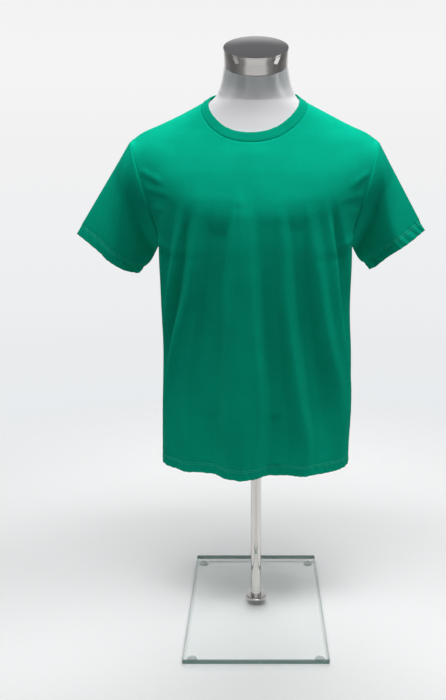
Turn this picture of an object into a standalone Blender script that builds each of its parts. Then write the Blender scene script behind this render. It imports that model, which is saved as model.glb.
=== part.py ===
"""A short-sleeved crew-neck t-shirt on a limbless torso form, which a pole and a glass base hold up.

Metres, +Z up. The front faces -Y, and the left side is -X, as seen by someone who faces the shirt. The origin
is on the floor under the middle of the whole object. The shirt and the form are written about the pole's axis,
and an empty puts them in their place. The shirt is first a sheet without thickness, in which all seams are
shared. Each piece is then given its own wall, and is drawn back from its seams by half of the seam's gap.
"""
import math

import bmesh
import bpy
from mathutils import Matrix, Vector
from mathutils.bvhtree import BVHTree

# Base and pole
PLATE_WIDTH = 0.280
PLATE_DEPTH = 0.400
PLATE_THICKNESS = 0.010
PLATE_EDGE = 0.0008
FOOT_RADIUS = 0.010
FOOT_HEIGHT = 0.003
FOOT_INSET = 0.017
POLE_RADIUS = 0.011
POLE_X = 0.0095
POLE_Y = 0.023
FLANGE_RADIUS = 0.022
FLANGE_HEIGHT = 0.004
FLANGE_EDGE = 0.001
TOUCH_GAP = 0.0003
POLE_SIDES = 20

# Torso form
FORM_BASE = 0.450
BORE_DEPTH = 0.060
FORM_SIDES = 36
NECK_TILT = math.radians(26.0)
CAP_Y = -0.030
CAP_Z = 1.131
CAP_RADIUS = 0.058
CAP_HEIGHT = 0.031
CAP_WALL = 0.002
LID_EDGE = 0.003
LID_RISE = 0.0035
LID_OVERHANG = 0.0012
CAP_SIDES = 36

# Shirt
WALL = 0.0015
RIB_WALL = 0.0021
SEAM_GAP = 0.0003
FORM_CLEARANCE = 0.0021
HEM_Z = 0.323
UNDERARM_Z = 0.785
SIDE_SEAM_Y = 0.014
RIDGE_Y = 0.009
ARMHOLE_DEPTHS = {"front": 0.052, "back": 0.064}
SEAM_FADE = 0.030
MERGE_DISTANCE = 0.00001
SMOOTH_UP_TO = math.radians(45)

# Rows of the sheet between the hem, the underarm, the shoulder's tip and the neck, and its columns
SIDE_ROWS = 14
ARM_ROWS = 12
SHOULDER_ROWS = 5
RIB_ROWS = 2
FRONT_COLUMNS = 44
BACK_COLUMNS = 34
SLEEVE_RINGS = 8

# Tables: the first row names the columns, and the first column is what the others are read by.
# The form's level rings. corner is the exponent of the ring's outline: 2 is an ellipse, less is leaner.
FORM_RINGS = (
    ("z", "half_width", "front_y", "back_y", "corner"),
    (0.450, 0.150, -0.076, 0.098, 2.30),
    (0.500, 0.152, -0.079, 0.103, 2.30),
    (0.560, 0.148, -0.078, 0.101, 2.30),
    (0.620, 0.146, -0.079, 0.097, 2.30),
    (0.680, 0.150, -0.083, 0.099, 2.30),
    (0.740, 0.160, -0.091, 0.109, 2.35),
    (0.790, 0.170, -0.1030, 0.118, 2.42),
    (0.830, 0.182, -0.1090, 0.123, 2.50),
    (0.860, 0.198, -0.1060, 0.124, 2.55),
    (0.885, 0.212, -0.0990, 0.123, 2.50),
    (0.910, 0.223, -0.0915, 0.119, 2.35),
    (0.930, 0.228, -0.0840, 0.114, 2.15),
    (0.946, 0.2275, -0.0780, 0.109, 1.95),
    (0.958, 0.2225, -0.0725, 0.104, 1.88),
    (0.968, 0.2145, -0.0685, 0.100, 1.82),
    (0.978, 0.202, -0.0650, 0.095, 1.75),
    (0.988, 0.187, -0.0620, 0.090, 1.66),
    (0.999, 0.168, -0.0600, 0.085, 1.60),
    (1.011, 0.145, -0.0580, 0.079, 1.58),
    (1.024, 0.119, -0.0565, 0.073, 1.64),
    (1.036, 0.095, -0.0550, 0.067, 1.80),
)
# The neck's rings, which lean forward step by step up to the cap.
NECK_RINGS = (
    ("z", "centre_y", "half_width", "half_depth", "tilt_degrees"),
    (1.048, 0.006, 0.0760, 0.0610, 8.0),
    (1.058, 0.003, 0.0700, 0.0600, 12.0),
    (1.072, -0.002, 0.0645, 0.0590, 17.0),
    (1.087, -0.009, 0.0610, 0.0580, 22.0),
)
# The side seams, from the hem up to the underarm.
SIDE_SEAMS = (
    ("z", "left_x", "right_x"),
    (0.323, -0.1940, 0.1915),
    (0.437, -0.1905, 0.1925),
    (0.563, -0.1850, 0.1905),
    (0.665, -0.1860, 0.1820),
    (0.744, -0.1840, 0.1800),
    (0.785, -0.1830, 0.1795),
)
# Side points where seams meet, on the left and right.
CORNERS = {
    "left": {"tip": (-0.2355, 0.9685), "neck": (-0.0985, 1.0370), "rib": (-0.0835, 1.0460)},
    "right": {"tip": (0.2305, 0.9680), "neck": (0.0915, 1.0375), "rib": (0.0770, 1.0490)},
}
# How far the shoulder seam stands above the straight line from its tip (0) to its neck end (1).
SHOULDER_RISE = (
    ("share", "rise"),
    (0.00, 0.0000),
    (0.15, 0.0045),
    (0.40, 0.0020),
    (0.70, -0.0008),
    (1.00, 0.0000),
)
# The panels' middle lines. level counts the hem as 0, underarm 1, shoulder's tip 2 and neck seam 3.
# edge is 2 where a row turns round to its seam, and 1 where it leaves its seam at a slant. sink is how late a row
# drops to its middle's height, and dip is how far it drops as it leaves the corner under the arm.
FRONT_ROWS = (
    ("level", "middle_x", "middle_y", "middle_z", "fullness", "edge", "sink", "dip"),
    (0.00, 0.000, -0.0820, 0.3230, 2.30, 2.10, 1.0, 0.000),
    (0.35, 0.000, -0.0890, 0.4850, 2.35, 2.20, 1.0, 0.000),
    (0.70, 0.000, -0.0965, 0.6350, 2.45, 2.40, 1.0, 0.012),
    (1.00, 0.000, -0.1060, 0.7530, 2.60, 2.40, 1.0, 0.030),
    (1.25, 0.000, -0.1105, 0.8100, 2.45, 1.60, 1.0, 0.016),
    (1.50, 0.000, -0.1105, 0.8500, 2.30, 1.20, 1.4, 0.000),
    (1.75, 0.000, -0.1045, 0.8780, 2.15, 1.10, 2.0, 0.000),
    (2.00, -0.001, -0.0970, 0.9000, 2.05, 1.10, 2.2, 0.000),
    (2.35, -0.003, -0.0880, 0.9230, 2.00, 1.55, 1.8, 0.000),
    (2.70, -0.006, -0.0785, 0.9470, 2.00, 1.90, 1.3, 0.000),
    (3.00, -0.008, -0.0710, 0.9650, 2.20, 2.20, 1.0, 0.000),
)
BACK_ROWS = (
    ("level", "middle_x", "middle_y", "middle_z", "fullness", "edge", "sink", "dip"),
    (0.00, 0.000, 0.1160, 0.3230, 2.20, 2.00, 1.0, 0.000),
    (0.35, 0.000, 0.1210, 0.4850, 2.25, 2.05, 1.0, 0.000),
    (0.70, 0.000, 0.1250, 0.6350, 2.30, 2.15, 1.0, 0.012),
    (1.00, 0.000, 0.1275, 0.7530, 2.40, 2.10, 1.0, 0.030),
    (1.25, 0.000, 0.1282, 0.8180, 2.35, 1.60, 1.0, 0.016),
    (1.50, 0.000, 0.1270, 0.8740, 2.30, 1.25, 1.2, 0.000),
    (1.75, 0.000, 0.1220, 0.9230, 2.25, 1.15, 1.6, 0.000),
    (2.00, 0.000, 0.1120, 0.9620, 2.20, 1.15, 1.8, 0.000),
    (2.35, 0.000, 0.0980, 0.9930, 2.10, 1.55, 1.5, 0.000),
    (2.70, 0.000, 0.0830, 1.0230, 2.00, 1.90, 1.2, 0.000),
    (3.00, 0.000, 0.0720, 1.0450, 2.00, 2.00, 1.0, 0.000),
)
RIB_FRONT = (-0.008, -0.0600, 0.9800)
RIB_BACK = (0.000, 0.0640, 1.0600)
RIB_FULLNESS = 2.2
# The drape's folds, as lines that run down a panel along its crests and in its valleys. The first row gives
# heights. There, each line has a place across the cloth from the panel's middle and a rise over the plain drape,
# both in millimetres.
FRONT_DRAPE = (
    (0.323, 0.485, 0.680, 0.860),
    ((-236, 0.0), (-232, 0.0), (-220, 1.0), (-168, 0.0)),
    ((-233, -1.0), (-229, -1.0), (-196, -2.5), (-148, 0.0)),
    ((-230, -2.5), (-226, -2.0), (-176, 3.0), (-130, 0.5)),
    ((-227, -3.0), (-219, -3.0), (-159, -9.0), (-120, 0.0)),
    ((-213, -3.0), (-200, 2.5), (-131, 4.5), (-96, 0.5)),
    ((-174, -7.5), (-168, -3.0), (-120, 1.5), (-88, 0.3)),
    ((-150, -4.5), (-147, -3.0), (-111, -1.0), (-82, 0.0)),
    ((-118, -11.5), (-124, -12.0), (-98, -7.5), (-75, 0.0)),
    ((-90, -12.0), (-80, -12.0), (-67, -7.5), (-52, 0.0)),
    ((-51, 6.5), (-51, 7.0), (-45, 5.5), (-34, 0.5)),
    ((-28, 11.0), (-28, 9.5), (-25, 6.5), (-25, 1.5)),
    ((-10, 6.5), (5, 7.5), (-6, 6.5), (-16, 0.5)),
    ((28, -11.0), (31, -10.5), (16, -2.5), (5, 0.0)),
    ((58, -9.5), (52, -9.5), (40, -2.5), (32, 0.0)),
    ((98, 1.5), (83, 4.5), (56, 4.5), (48, 0.5)),
    ((120, -1.0), (107, -9.5), (80, -5.5), (62, 0.0)),
    ((140, -1.0), (127, -10.0), (101, -6.0), (80, 0.0)),
    ((190, 0.0), (171, 6.0), (123, 6.0), (97, 0.5)),
    ((204, 0.0), (186, 4.5), (141, 3.0), (113, 0.3)),
    ((216, -0.5), (202, 3.5), (159, 6.0), (130, 0.8)),
    ((228, -1.5), (216, -3.0), (175, -6.0), (142, 0.0)),
    ((236, -1.0), (232, -1.0), (214, 2.0), (152, 0.5)),
)
BACK_DRAPE = (
    (0.323, 0.485, 0.680, 0.870),
    ((-236, 0.0), (-230, 0.0), (-205, 3.0), (-150, 0.5)),
    ((-222, 0.0), (-214, -1.0), (-172, -5.0), (-132, 0.0)),
    ((-197, 6.5), (-184, 8.0), (-146, 8.0), (-112, 1.0)),
    ((-155, -9.0), (-144, -9.5), (-116, -6.0), (-94, 0.0)),
    ((-121, -9.0), (-112, -9.0), (-93, -5.5), (-76, 0.0)),
    ((-80, 10.0), (-74, 10.5), (-66, 8.5), (-58, 1.5)),
    ((-44, 7.5), (-44, 9.0), (-46, 7.0), (-44, 0.5)),
    ((-12, -11.5), (-18, -11.0), (-25, -6.5), (-26, 0.0)),
    ((17, -12.0), (8, -12.0), (0, -7.5), (-4, 0.0)),
    ((54, 9.5), (42, 9.5), (26, 7.0), (16, 1.0)),
    ((79, 8.0), (66, 8.5), (48, 8.0), (34, 1.5)),
    ((112, -10.0), (98, -10.0), (74, -5.5), (54, 0.0)),
    ((134, -8.0), (118, -8.5), (94, -5.0), (72, 0.0)),
    ((171, 7.5), (152, 8.5), (120, 7.5), (92, 1.0)),
    ((206, 2.5), (186, 0.0), (146, -4.5), (112, 0.0)),
    ((231, 0.0), (220, 0.5), (184, 4.0), (134, 0.5)),
)
# The folds start over this height above their first one, and end at the panel's reach from its middle.
DRAPE_START = 0.030
PANEL_REACH = 0.300
MILLIMETRE = 0.001
# The cloth draws taut over the form above these levels, in as many rounds of smoothing.
GIVE_START = 1.05
GIVE_FULL = 1.35
SETTLE_ROUNDS = 9
# The sleeves: lower and outer are the corners of the open end, front and back its depths. A ridge runs down each
# face: its table gives its place between the lower (0) and the outer side (1) on the way from the armhole (0) to
# the cuff (1). edge_rise gives in millimetres how far the cuff's front edge stands over the straight line between
# its corners.
SLEEVES = {
    "left": {
        "lower": (-0.2345, 0.0340, 0.7146),
        "outer": (-0.3483, 0.0120, 0.7944),
        "front": 0.024,
        "back": 0.056,
        "front_ridge": (
            ("down", "place"),
            (0.0, 0.97), (0.2, 0.87), (0.4, 0.72), (0.6, 0.60), (0.8, 0.51), (1.0, 0.43),
        ),
        "back_ridge": (
            ("down", "place"),
            (0.0, 0.96), (0.3, 0.80), (0.6, 0.64), (1.0, 0.52),
        ),
        "edge_rise": (
            ("place", "rise"),
            (0.00, 0.0), (0.06, -3.0), (0.12, -5.5), (0.20, -8.5), (0.28, -9.0), (0.36, -8.5),
            (0.44, -7.0), (0.50, -6.5), (0.56, -3.5), (0.65, -2.0), (0.80, -0.8), (1.00, 0.0),
        ),
    },
    "right": {
        "lower": (0.2282, 0.0340, 0.7230),
        "outer": (0.3275, 0.0120, 0.8007),
        "front": 0.024,
        "back": 0.054,
        "front_ridge": (
            ("down", "place"),
            (0.0, 0.97), (0.2, 0.85), (0.4, 0.69), (0.6, 0.58), (0.8, 0.53), (1.0, 0.49),
        ),
        "back_ridge": (
            ("down", "place"),
            (0.0, 0.96), (0.3, 0.78), (0.6, 0.60), (1.0, 0.45),
        ),
        "edge_rise": (
            ("place", "rise"),
            (0.00, 0.0), (0.08, -1.5), (0.20, 1.5), (0.30, 4.0),
            (0.45, 5.0), (0.55, 4.0), (0.75, 1.0), (1.00, 0.0),
        ),
    },
}
SLEEVE_SAG = 0.008
SAG_EXPONENT = 3
# How sharp the ridges are, and the share of the sleeve's length over which they take the armhole's place.
RIDGE_SHARPNESS = {"front": 7.0, "back": 3.0}
RIDGE_GROWTH = 0.36
NEAR_ZERO = 0.0001
# How much closer together a row's columns lie at its seams and its middle, as on a loop twice as wide as deep.
COLUMN_CROWDING = 0.30
# The dip's share of the row: a higher exponent keeps it nearer to the corner under the arm.
DIP_EXPONENT = 6
LID_RINGS = (0.98, 0.80, 0.50, 0.20)

# sRGB colour, roughness, metallic, transmission
FINISHES = {
    "green_jersey": ("0AA07C", 0.85, 0.0, 0.0),
    "green_rib": ("078A69", 0.88, 0.0, 0.0),
    "white_gloss": ("F4F4F8", 0.12, 0.0, 0.0),
    "chrome": ("E2E0DF", 0.08, 1.0, 0.0),
    "clear_glass": ("D6EEE8", 0.02, 0.0, 1.0),
    "clear_rubber": ("E6ECEA", 0.35, 0.0, 0.6),
}


def along(table, at, column):
    """Read a column of a table at a place between its rows, on a smooth curve through them."""
    names = table[0]
    rows = table[1:]
    wanted = names.index(column)
    at = min(max(at, rows[0][0]), rows[-1][0])
    low = 0
    while low < len(rows) - 2 and rows[low + 1][0] < at:
        low += 1

    def slope(index):
        before = max(index - 1, 0)
        after = min(index + 1, len(rows) - 1)
        return (rows[after][wanted] - rows[before][wanted]) / (rows[after][0] - rows[before][0])

    span = rows[low + 1][0] - rows[low][0]
    share = (at - rows[low][0]) / span
    start, end = rows[low][wanted], rows[low + 1][wanted]
    bend = share * (1 - share)
    straight = start + (end - start) * share
    pull = (slope(low) * span - (end - start)) * (1 - share) - (slope(low + 1) * span - (end - start)) * share
    return straight + bend * pull


def records(table):
    """The rows of a table as dictionaries."""
    return [dict(zip(table[0], row)) for row in table[1:]]


def mix(start, end, share):
    return start + (end - start) * share


def ease(share):
    share = min(max(share, 0.0), 1.0)
    return share * share * (3 - 2 * share)


def clear_scene():
    for item in list(bpy.data.objects):
        bpy.data.objects.remove(item, do_unlink=True)


def srgb_channel(value):
    return value / 12.92 if value <= 0.04045 else ((value + 0.055) / 1.055) ** 2.4


def finish(name):
    """The Principled material of that name, made when it is first asked for."""
    if name in bpy.data.materials:
        return bpy.data.materials[name]
    code, roughness, metallic, transmission = FINISHES[name]
    channels = [srgb_channel(int(code[place:place + 2], 16) / 255) for place in (0, 2, 4)]
    material = bpy.data.materials.new(name)
    material.use_nodes = True
    shader = material.node_tree.nodes["Principled BSDF"]
    shader.inputs["Base Color"].default_value = (*channels, 1.0)
    shader.inputs["Roughness"].default_value = roughness
    shader.inputs["Metallic"].default_value = metallic
    shader.inputs["Transmission Weight"].default_value = transmission
    return material


def add_empty(name, place):
    empty = bpy.data.objects.new(name, None)
    empty.location = place
    bpy.context.scene.collection.objects.link(empty)
    return empty


def add_object(name, mesh, material, parent, place=(0.0, 0.0, 0.0)):
    item = bpy.data.objects.new(name, mesh)
    item.data.materials.append(finish(material))
    item.parent = parent
    item.location = place
    bpy.context.scene.collection.objects.link(item)
    return item


def mesh_of_rings(name, rings):
    """A closed mesh through rings with as many points each, from the first ring's disc to the last one's."""
    shape = bmesh.new()
    loops = [[shape.verts.new(point) for point in ring] for ring in rings]
    count = len(loops[0])
    for lower, upper in zip(loops, loops[1:]):
        for side in range(count):
            ahead = (side + 1) % count
            shape.faces.new((lower[side], lower[ahead], upper[ahead], upper[side]))
    shape.faces.new(list(reversed(loops[0])))
    shape.faces.new(loops[-1])
    bmesh.ops.recalc_face_normals(shape, faces=shape.faces)
    mesh = bpy.data.meshes.new(name)
    shape.to_mesh(mesh)
    shape.free()
    mesh.shade_smooth()
    mesh.set_sharp_from_angle(angle=SMOOTH_UP_TO)
    return mesh


def circle(radius, height, sides):
    turns = [2 * math.pi * side / sides for side in range(sides)]
    return [Vector((radius * math.cos(turn), radius * math.sin(turn), height)) for turn in turns]


# Base and pole -------------------------------------------------------------------------------------------------


def glass_plate(parent):
    plate = bmesh.new()
    bmesh.ops.create_cube(plate, size=1.0)
    bmesh.ops.scale(plate, vec=(PLATE_WIDTH, PLATE_DEPTH, PLATE_THICKNESS), verts=plate.verts)
    bmesh.ops.bevel(plate, geom=plate.edges, offset=PLATE_EDGE, segments=1, affect="EDGES")
    mesh = bpy.data.meshes.new("glass_plate")
    plate.to_mesh(mesh)
    plate.free()
    middle = FOOT_HEIGHT + TOUCH_GAP + PLATE_THICKNESS / 2
    return add_object("glass_plate", mesh, "clear_glass", parent, (0, 0, middle))


def feet(parent):
    mesh = mesh_of_rings("foot", [circle(FOOT_RADIUS, height, POLE_SIDES) for height in (0.0, FOOT_HEIGHT)])
    out_x = PLATE_WIDTH / 2 - FOOT_INSET
    out_y = PLATE_DEPTH / 2 - FOOT_INSET
    for depth_word, depth in (("front", -1), ("rear", 1)):
        for side_word, side in (("left", -1), ("right", 1)):
            name = f"foot_{depth_word}_{side_word}"
            add_object(name, mesh, "clear_rubber", parent, (side * out_x, depth * out_y, 0))


def pole_and_flange(parent):
    glass_top = FOOT_HEIGHT + TOUCH_GAP + PLATE_THICKNESS
    foot = glass_top + TOUCH_GAP
    top = FORM_BASE + BORE_DEPTH - TOUCH_GAP
    pole = mesh_of_rings("pole", [circle(POLE_RADIUS, height, POLE_SIDES) for height in (foot, top)])
    add_object("pole", pole, "chrome", parent)
    inner = POLE_RADIUS + TOUCH_GAP
    profile = (
        (inner, foot),
        (FLANGE_RADIUS, foot),
        (FLANGE_RADIUS, foot + FLANGE_HEIGHT - FLANGE_EDGE),
        (FLANGE_RADIUS - FLANGE_EDGE, foot + FLANGE_HEIGHT),
        (inner, foot + FLANGE_HEIGHT),
    )
    add_object("pole_flange", turned_ring("pole_flange", profile, POLE_SIDES), "chrome", parent)


def turned_ring(name, profile, sides):
    """A closed ring whose section is the profile, a loop of radius and height pairs."""
    shape = bmesh.new()
    loops = [[shape.verts.new(point) for point in circle(radius, height, sides)] for radius, height in profile]
    for place, loop in enumerate(loops):
        following = loops[(place + 1) % len(loops)]
        for side in range(sides):
            ahead = (side + 1) % sides
            shape.faces.new((loop[side], loop[ahead], following[ahead], following[side]))
    bmesh.ops.recalc_face_normals(shape, faces=shape.faces)
    mesh = bpy.data.meshes.new(name)
    shape.to_mesh(mesh)
    shape.free()
    mesh.shade_smooth()
    mesh.set_sharp_from_angle(angle=SMOOTH_UP_TO)
    return mesh


# Torso form ----------------------------------------------------------------------------------------------------


def form_ring(half_width, front_y, back_y, corner, height):
    """A level ring: two half outlines of the same width, one to the front and one to the back."""
    power = 2 / corner
    middle_y = SIDE_SEAM_Y
    ring = []
    for side in range(FORM_SIDES):
        turn = 2 * math.pi * side / FORM_SIDES
        across, depth = math.cos(turn), math.sin(turn)
        reach = (back_y - middle_y) if depth > 0 else (middle_y - front_y)
        x = half_width * math.copysign(abs(across) ** power, across)
        y = middle_y + reach * math.copysign(abs(depth) ** power, depth)
        ring.append(Vector((x, y, height)))
    return ring


def tilted_ring(half_width, half_depth, centre_y, height, tilt):
    """A ring whose plane leans forward by the tilt."""
    ring = []
    for side in range(FORM_SIDES):
        turn = 2 * math.pi * side / FORM_SIDES
        depth = half_depth * math.sin(turn)
        y = centre_y + depth * math.cos(tilt)
        ring.append(Vector((half_width * math.cos(turn), y, height + depth * math.sin(tilt))))
    return ring


def cap_point(drop):
    """The point on the neck's axis that lies so far under the middle of the cap's top."""
    return CAP_Y + drop * math.sin(NECK_TILT), CAP_Z - drop * math.cos(NECK_TILT)


def torso_form(parent):
    """The form, with the pole's bore in its underside and a stub for the cap at the top of its neck."""
    bore = POLE_RADIUS + TOUCH_GAP
    rings = [
        circle(bore, FORM_BASE + BORE_DEPTH, FORM_SIDES),
        circle(bore, FORM_BASE, FORM_SIDES),
    ]
    for row in records(FORM_RINGS):
        rings.append(form_ring(row["half_width"], row["front_y"], row["back_y"], row["corner"], row["z"]))
    for row in records(NECK_RINGS):
        tilt = math.radians(row["tilt_degrees"])
        rings.append(tilted_ring(row["half_width"], row["half_depth"], row["centre_y"], row["z"], tilt))
    ledge_y, ledge_z = cap_point(CAP_HEIGHT + TOUCH_GAP)
    stub_y, stub_z = cap_point(LID_EDGE + 2 * TOUCH_GAP)
    stub = CAP_RADIUS - CAP_WALL - TOUCH_GAP
    rings.append(tilted_ring(CAP_RADIUS, CAP_RADIUS, ledge_y, ledge_z, NECK_TILT))
    rings.append(tilted_ring(stub, stub, ledge_y, ledge_z, NECK_TILT))
    rings.append(tilted_ring(stub, stub, stub_y, stub_z, NECK_TILT))
    return add_object("form_torso", mesh_of_rings("form_torso", rings), "white_gloss", parent)


def neck_cap(parent):
    """The bright ring round the neck's stub and the domed lid on it, both square to the leaning neck."""
    lean = Matrix.Rotation(NECK_TILT, 4, "X")
    middle = Vector((0, CAP_Y, CAP_Z))
    band_top = -LID_EDGE - TOUCH_GAP
    inner = CAP_RADIUS - CAP_WALL
    band = (
        (inner, -CAP_HEIGHT),
        (CAP_RADIUS, -CAP_HEIGHT),
        (CAP_RADIUS, band_top),
        (inner, band_top),
    )
    band_mesh = turned_ring("cap_band", band, CAP_SIDES)
    lid_radius = CAP_RADIUS + LID_OVERHANG
    lid_rings = [circle(lid_radius, -LID_EDGE, CAP_SIDES), circle(lid_radius, -LID_EDGE / 2, CAP_SIDES)]
    for share in LID_RINGS:
        rise = LID_RISE * (1 - share ** 2)
        lid_rings.append(circle(lid_radius * share, rise, CAP_SIDES))
    lid_mesh = mesh_of_rings("cap_lid", lid_rings)
    for name, mesh in (("cap_band", band_mesh), ("cap_lid", lid_mesh)):
        mesh.transform(Matrix.Translation(middle) @ lean)
        add_object(name, mesh, "chrome", parent)


# Shirt: the sheet ----------------------------------------------------------------------------------------------


def side_point(side, level):
    """A point of the side seam (level 0 to 1) or the shoulder seam (level 2 to 3)."""
    if level <= 1:
        z = mix(HEM_Z, UNDERARM_Z, level)
        return Vector((along(SIDE_SEAMS, z, side + "_x"), SIDE_SEAM_Y, z))
    share = level - 2
    tip_x, tip_z = CORNERS[side]["tip"]
    neck_x, neck_z = CORNERS[side]["neck"]
    z = mix(tip_z, neck_z, share) + along(SHOULDER_RISE, share, "rise")
    return Vector((mix(tip_x, neck_x, share), RIDGE_Y, z))


def face_word(face):
    return "front" if face < 0 else "back"


def armhole_point(side, face, share):
    """A point of the armhole, from the underarm (0) to the shoulder's tip (1) by the front or the back."""
    turn = math.pi * share
    under = side_point(side, 1)
    tip = side_point(side, 2)
    climb = (1 - math.cos(turn)) / 2
    point = under.lerp(tip, climb)
    point.y += face * ARMHOLE_DEPTHS[face_word(face)] * math.sin(turn)
    return point


def row_end(side, face, level):
    if 1 < level < 2:
        return armhole_point(side, face, level - 1)
    return side_point(side, level)


def row_place(column_share):
    """Where a column stands round its row, from 0 at the left seam to a half turn at the right one."""
    whole_turn = 2 * math.pi
    return math.pi * (column_share + COLUMN_CROWDING * math.sin(whole_turn * column_share) / whole_turn)


def row_point(rows, face, level, column_share):
    """A point of a panel without folds, where column_share runs from the left seam to the right one."""
    left = row_end("left", face, level)
    right = row_end("right", face, level)
    middle = Vector([along(rows, level, "middle_" + axis) for axis in "xyz"])
    fullness = along(rows, level, "fullness")
    edge = along(rows, level, "edge")
    across = -math.cos(row_place(column_share))
    dip = along(rows, level, "dip")
    bow = max(1 - abs(across) ** fullness, 0.0) ** (1 / edge)
    sunk = bow ** along(rows, level, "sink")
    point = left.lerp(right, (across + 1) / 2)
    to_middle = middle - (left + right) / 2
    point.x += to_middle.x * bow
    point.y += to_middle.y * bow
    point.z += (to_middle.z + dip) * sunk - dip * (1 - abs(2 * column_share - 1) ** DIP_EXPONENT)
    return point


def levels():
    below = [row / SIDE_ROWS for row in range(SIDE_ROWS)]
    beside = [1 + row / ARM_ROWS for row in range(ARM_ROWS)]
    above = [2 + row / SHOULDER_ROWS for row in range(SHOULDER_ROWS + 1)]
    return below + beside + above


def grid_normals(grid):
    """Outward directions at the points of a grid whose rows run anticlockwise and climb."""
    normals = []
    for row in range(len(grid)):
        lower = grid[max(row - 1, 0)]
        upper = grid[min(row + 1, len(grid) - 1)]
        line = grid[row]
        last = len(line) - 1
        found = []
        for column in range(len(line)):
            ahead = line[min(column + 1, last)] - line[max(column - 1, 0)]
            climb = upper[column] - lower[column]
            found.append(ahead.cross(climb).normalized())
        normals.append(found)
    return normals


def distances_across(line):
    """How far each point of a row lies from the row's middle, along the cloth."""
    reached = [0.0]
    for start, end in zip(line, line[1:]):
        reached.append(reached[-1] + (end - start).length)
    return [distance - reached[-1] / 2 for distance in reached]


def fold_lines(drape, z):
    """The place and the rise of each line of the drape at that height, in metres."""
    heights = drape[0]
    lines = [(-PANEL_REACH, 0.0)]
    for line in drape[1:]:
        table = [("z", "place", "rise")] + [(height, *pair) for height, pair in zip(heights, line)]
        lines.append((along(table, z, "place") * MILLIMETRE, along(table, z, "rise") * MILLIMETRE))
    return lines + [(PANEL_REACH, 0.0)]


def fold_rise(lines, across):
    """How far the folds push the cloth out at that place: a soft step from each line to the next."""
    for (start, low), (end, high) in zip(lines, lines[1:]):
        if across <= end:
            return mix(low, high, ease((across - start) / (end - start)))
    return 0.0


def settle(grid, form_tree):
    """Let the upper part of a panel draw taut over the form, between its seams."""
    for _ in range(SETTLE_ROUNDS):
        normals = grid_normals(grid)
        moved = [list(line) for line in grid]
        for row, level in enumerate(levels()[1:-1], 1):
            give = ease((level - GIVE_START) / (GIVE_FULL - GIVE_START))
            for column in range(1, len(grid[row]) - 1):
                beside = grid[row - 1][column] + grid[row + 1][column]
                beside += grid[row][column - 1] + grid[row][column + 1]
                point, normal = grid[row][column], normals[row][column]
                pull = (beside / 4 - point).dot(normal)
                moved[row][column] = clear_of(form_tree, point + normal * pull * give)
        grid = moved
    return grid


def panel_grid(rows, drape, face, columns, form_tree):
    """The points of a panel, row by row, in the order that turns its faces out."""
    shares = [column / columns for column in range(columns + 1)]
    if face > 0:
        shares.reverse()
    grid = [[row_point(rows, face, level, share) for share in shares] for level in levels()]
    grid = settle(grid, form_tree)
    draped = []
    for line, directions in zip(grid, grid_normals(grid)):
        height = sum(point.z for point in line) / len(line)
        lines = fold_lines(drape, height)
        start = 1 - ease((height - drape[0][-1]) / DRAPE_START)
        across = distances_across(line)
        reach = across[-1]
        if face > 0:
            across = [-distance for distance in across]
        points = []
        for point, direction, distance in zip(line, directions, across):
            fade = ease((reach - abs(distance)) / SEAM_FADE)
            out = start * fade * fold_rise(lines, distance)
            points.append(clear_of(form_tree, point + direction * out))
        draped.append(points)
    return draped


def clear_of(form_tree, point):
    """Move a point of the cloth out to where it rests on the form, if it lies deeper than that."""
    nearest, normal, _, _ = form_tree.find_nearest(point)
    stand_off = (point - nearest).dot(normal)
    if stand_off >= FORM_CLEARANCE:
        return point
    return point + normal * (FORM_CLEARANCE - stand_off)


def ridged(place, apex, sharpness):
    """A slack tent's height from the lower (0) to the outer side (1), with its ridge at the apex."""
    near = max(place / apex, NEAR_ZERO)
    far = max((1 - place) / (1 - apex), NEAR_ZERO)
    return (near ** -sharpness + far ** -sharpness) ** (-1 / sharpness)


def sleeve_grid(side, armhole, form_tree):
    """Rings of a sleeve from the armhole's points to the cuff, which go round by the front."""
    form = SLEEVES[side]
    lower, outer = Vector(form["lower"]), Vector(form["outer"])
    grid = []
    for ring in range(SLEEVE_RINGS + 1):
        down = ring / SLEEVE_RINGS
        line = []
        for index, start in enumerate(armhole):
            turn = 2 * math.pi * index / len(armhole)
            face = -1 if turn < math.pi else 1
            word = face_word(face)
            place = (1 - math.cos(turn)) / 2
            cuff = lower.lerp(outer, place)
            if face < 0:
                cuff.z += along(form["edge_rise"], place, "rise") * MILLIMETRE
            armhole_depth = ARMHOLE_DEPTHS[word] * abs(math.sin(turn))
            apex = along(form[word + "_ridge"], down, "place")
            ridge = form[word] * ridged(place, apex, RIDGE_SHARPNESS[word])
            point = start.lerp(cuff, down)
            point.y = mix(start.y - face * armhole_depth, cuff.y, down)
            point.y += face * mix(armhole_depth, ridge, ease(down / RIDGE_GROWTH))
            point.z -= SLEEVE_SAG * (math.sin(math.pi * down) * max(math.cos(turn), 0.0)) ** SAG_EXPONENT
            line.append(point if ring == 0 else clear_of(form_tree, point))
        grid.append(line)
    return grid


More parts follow.
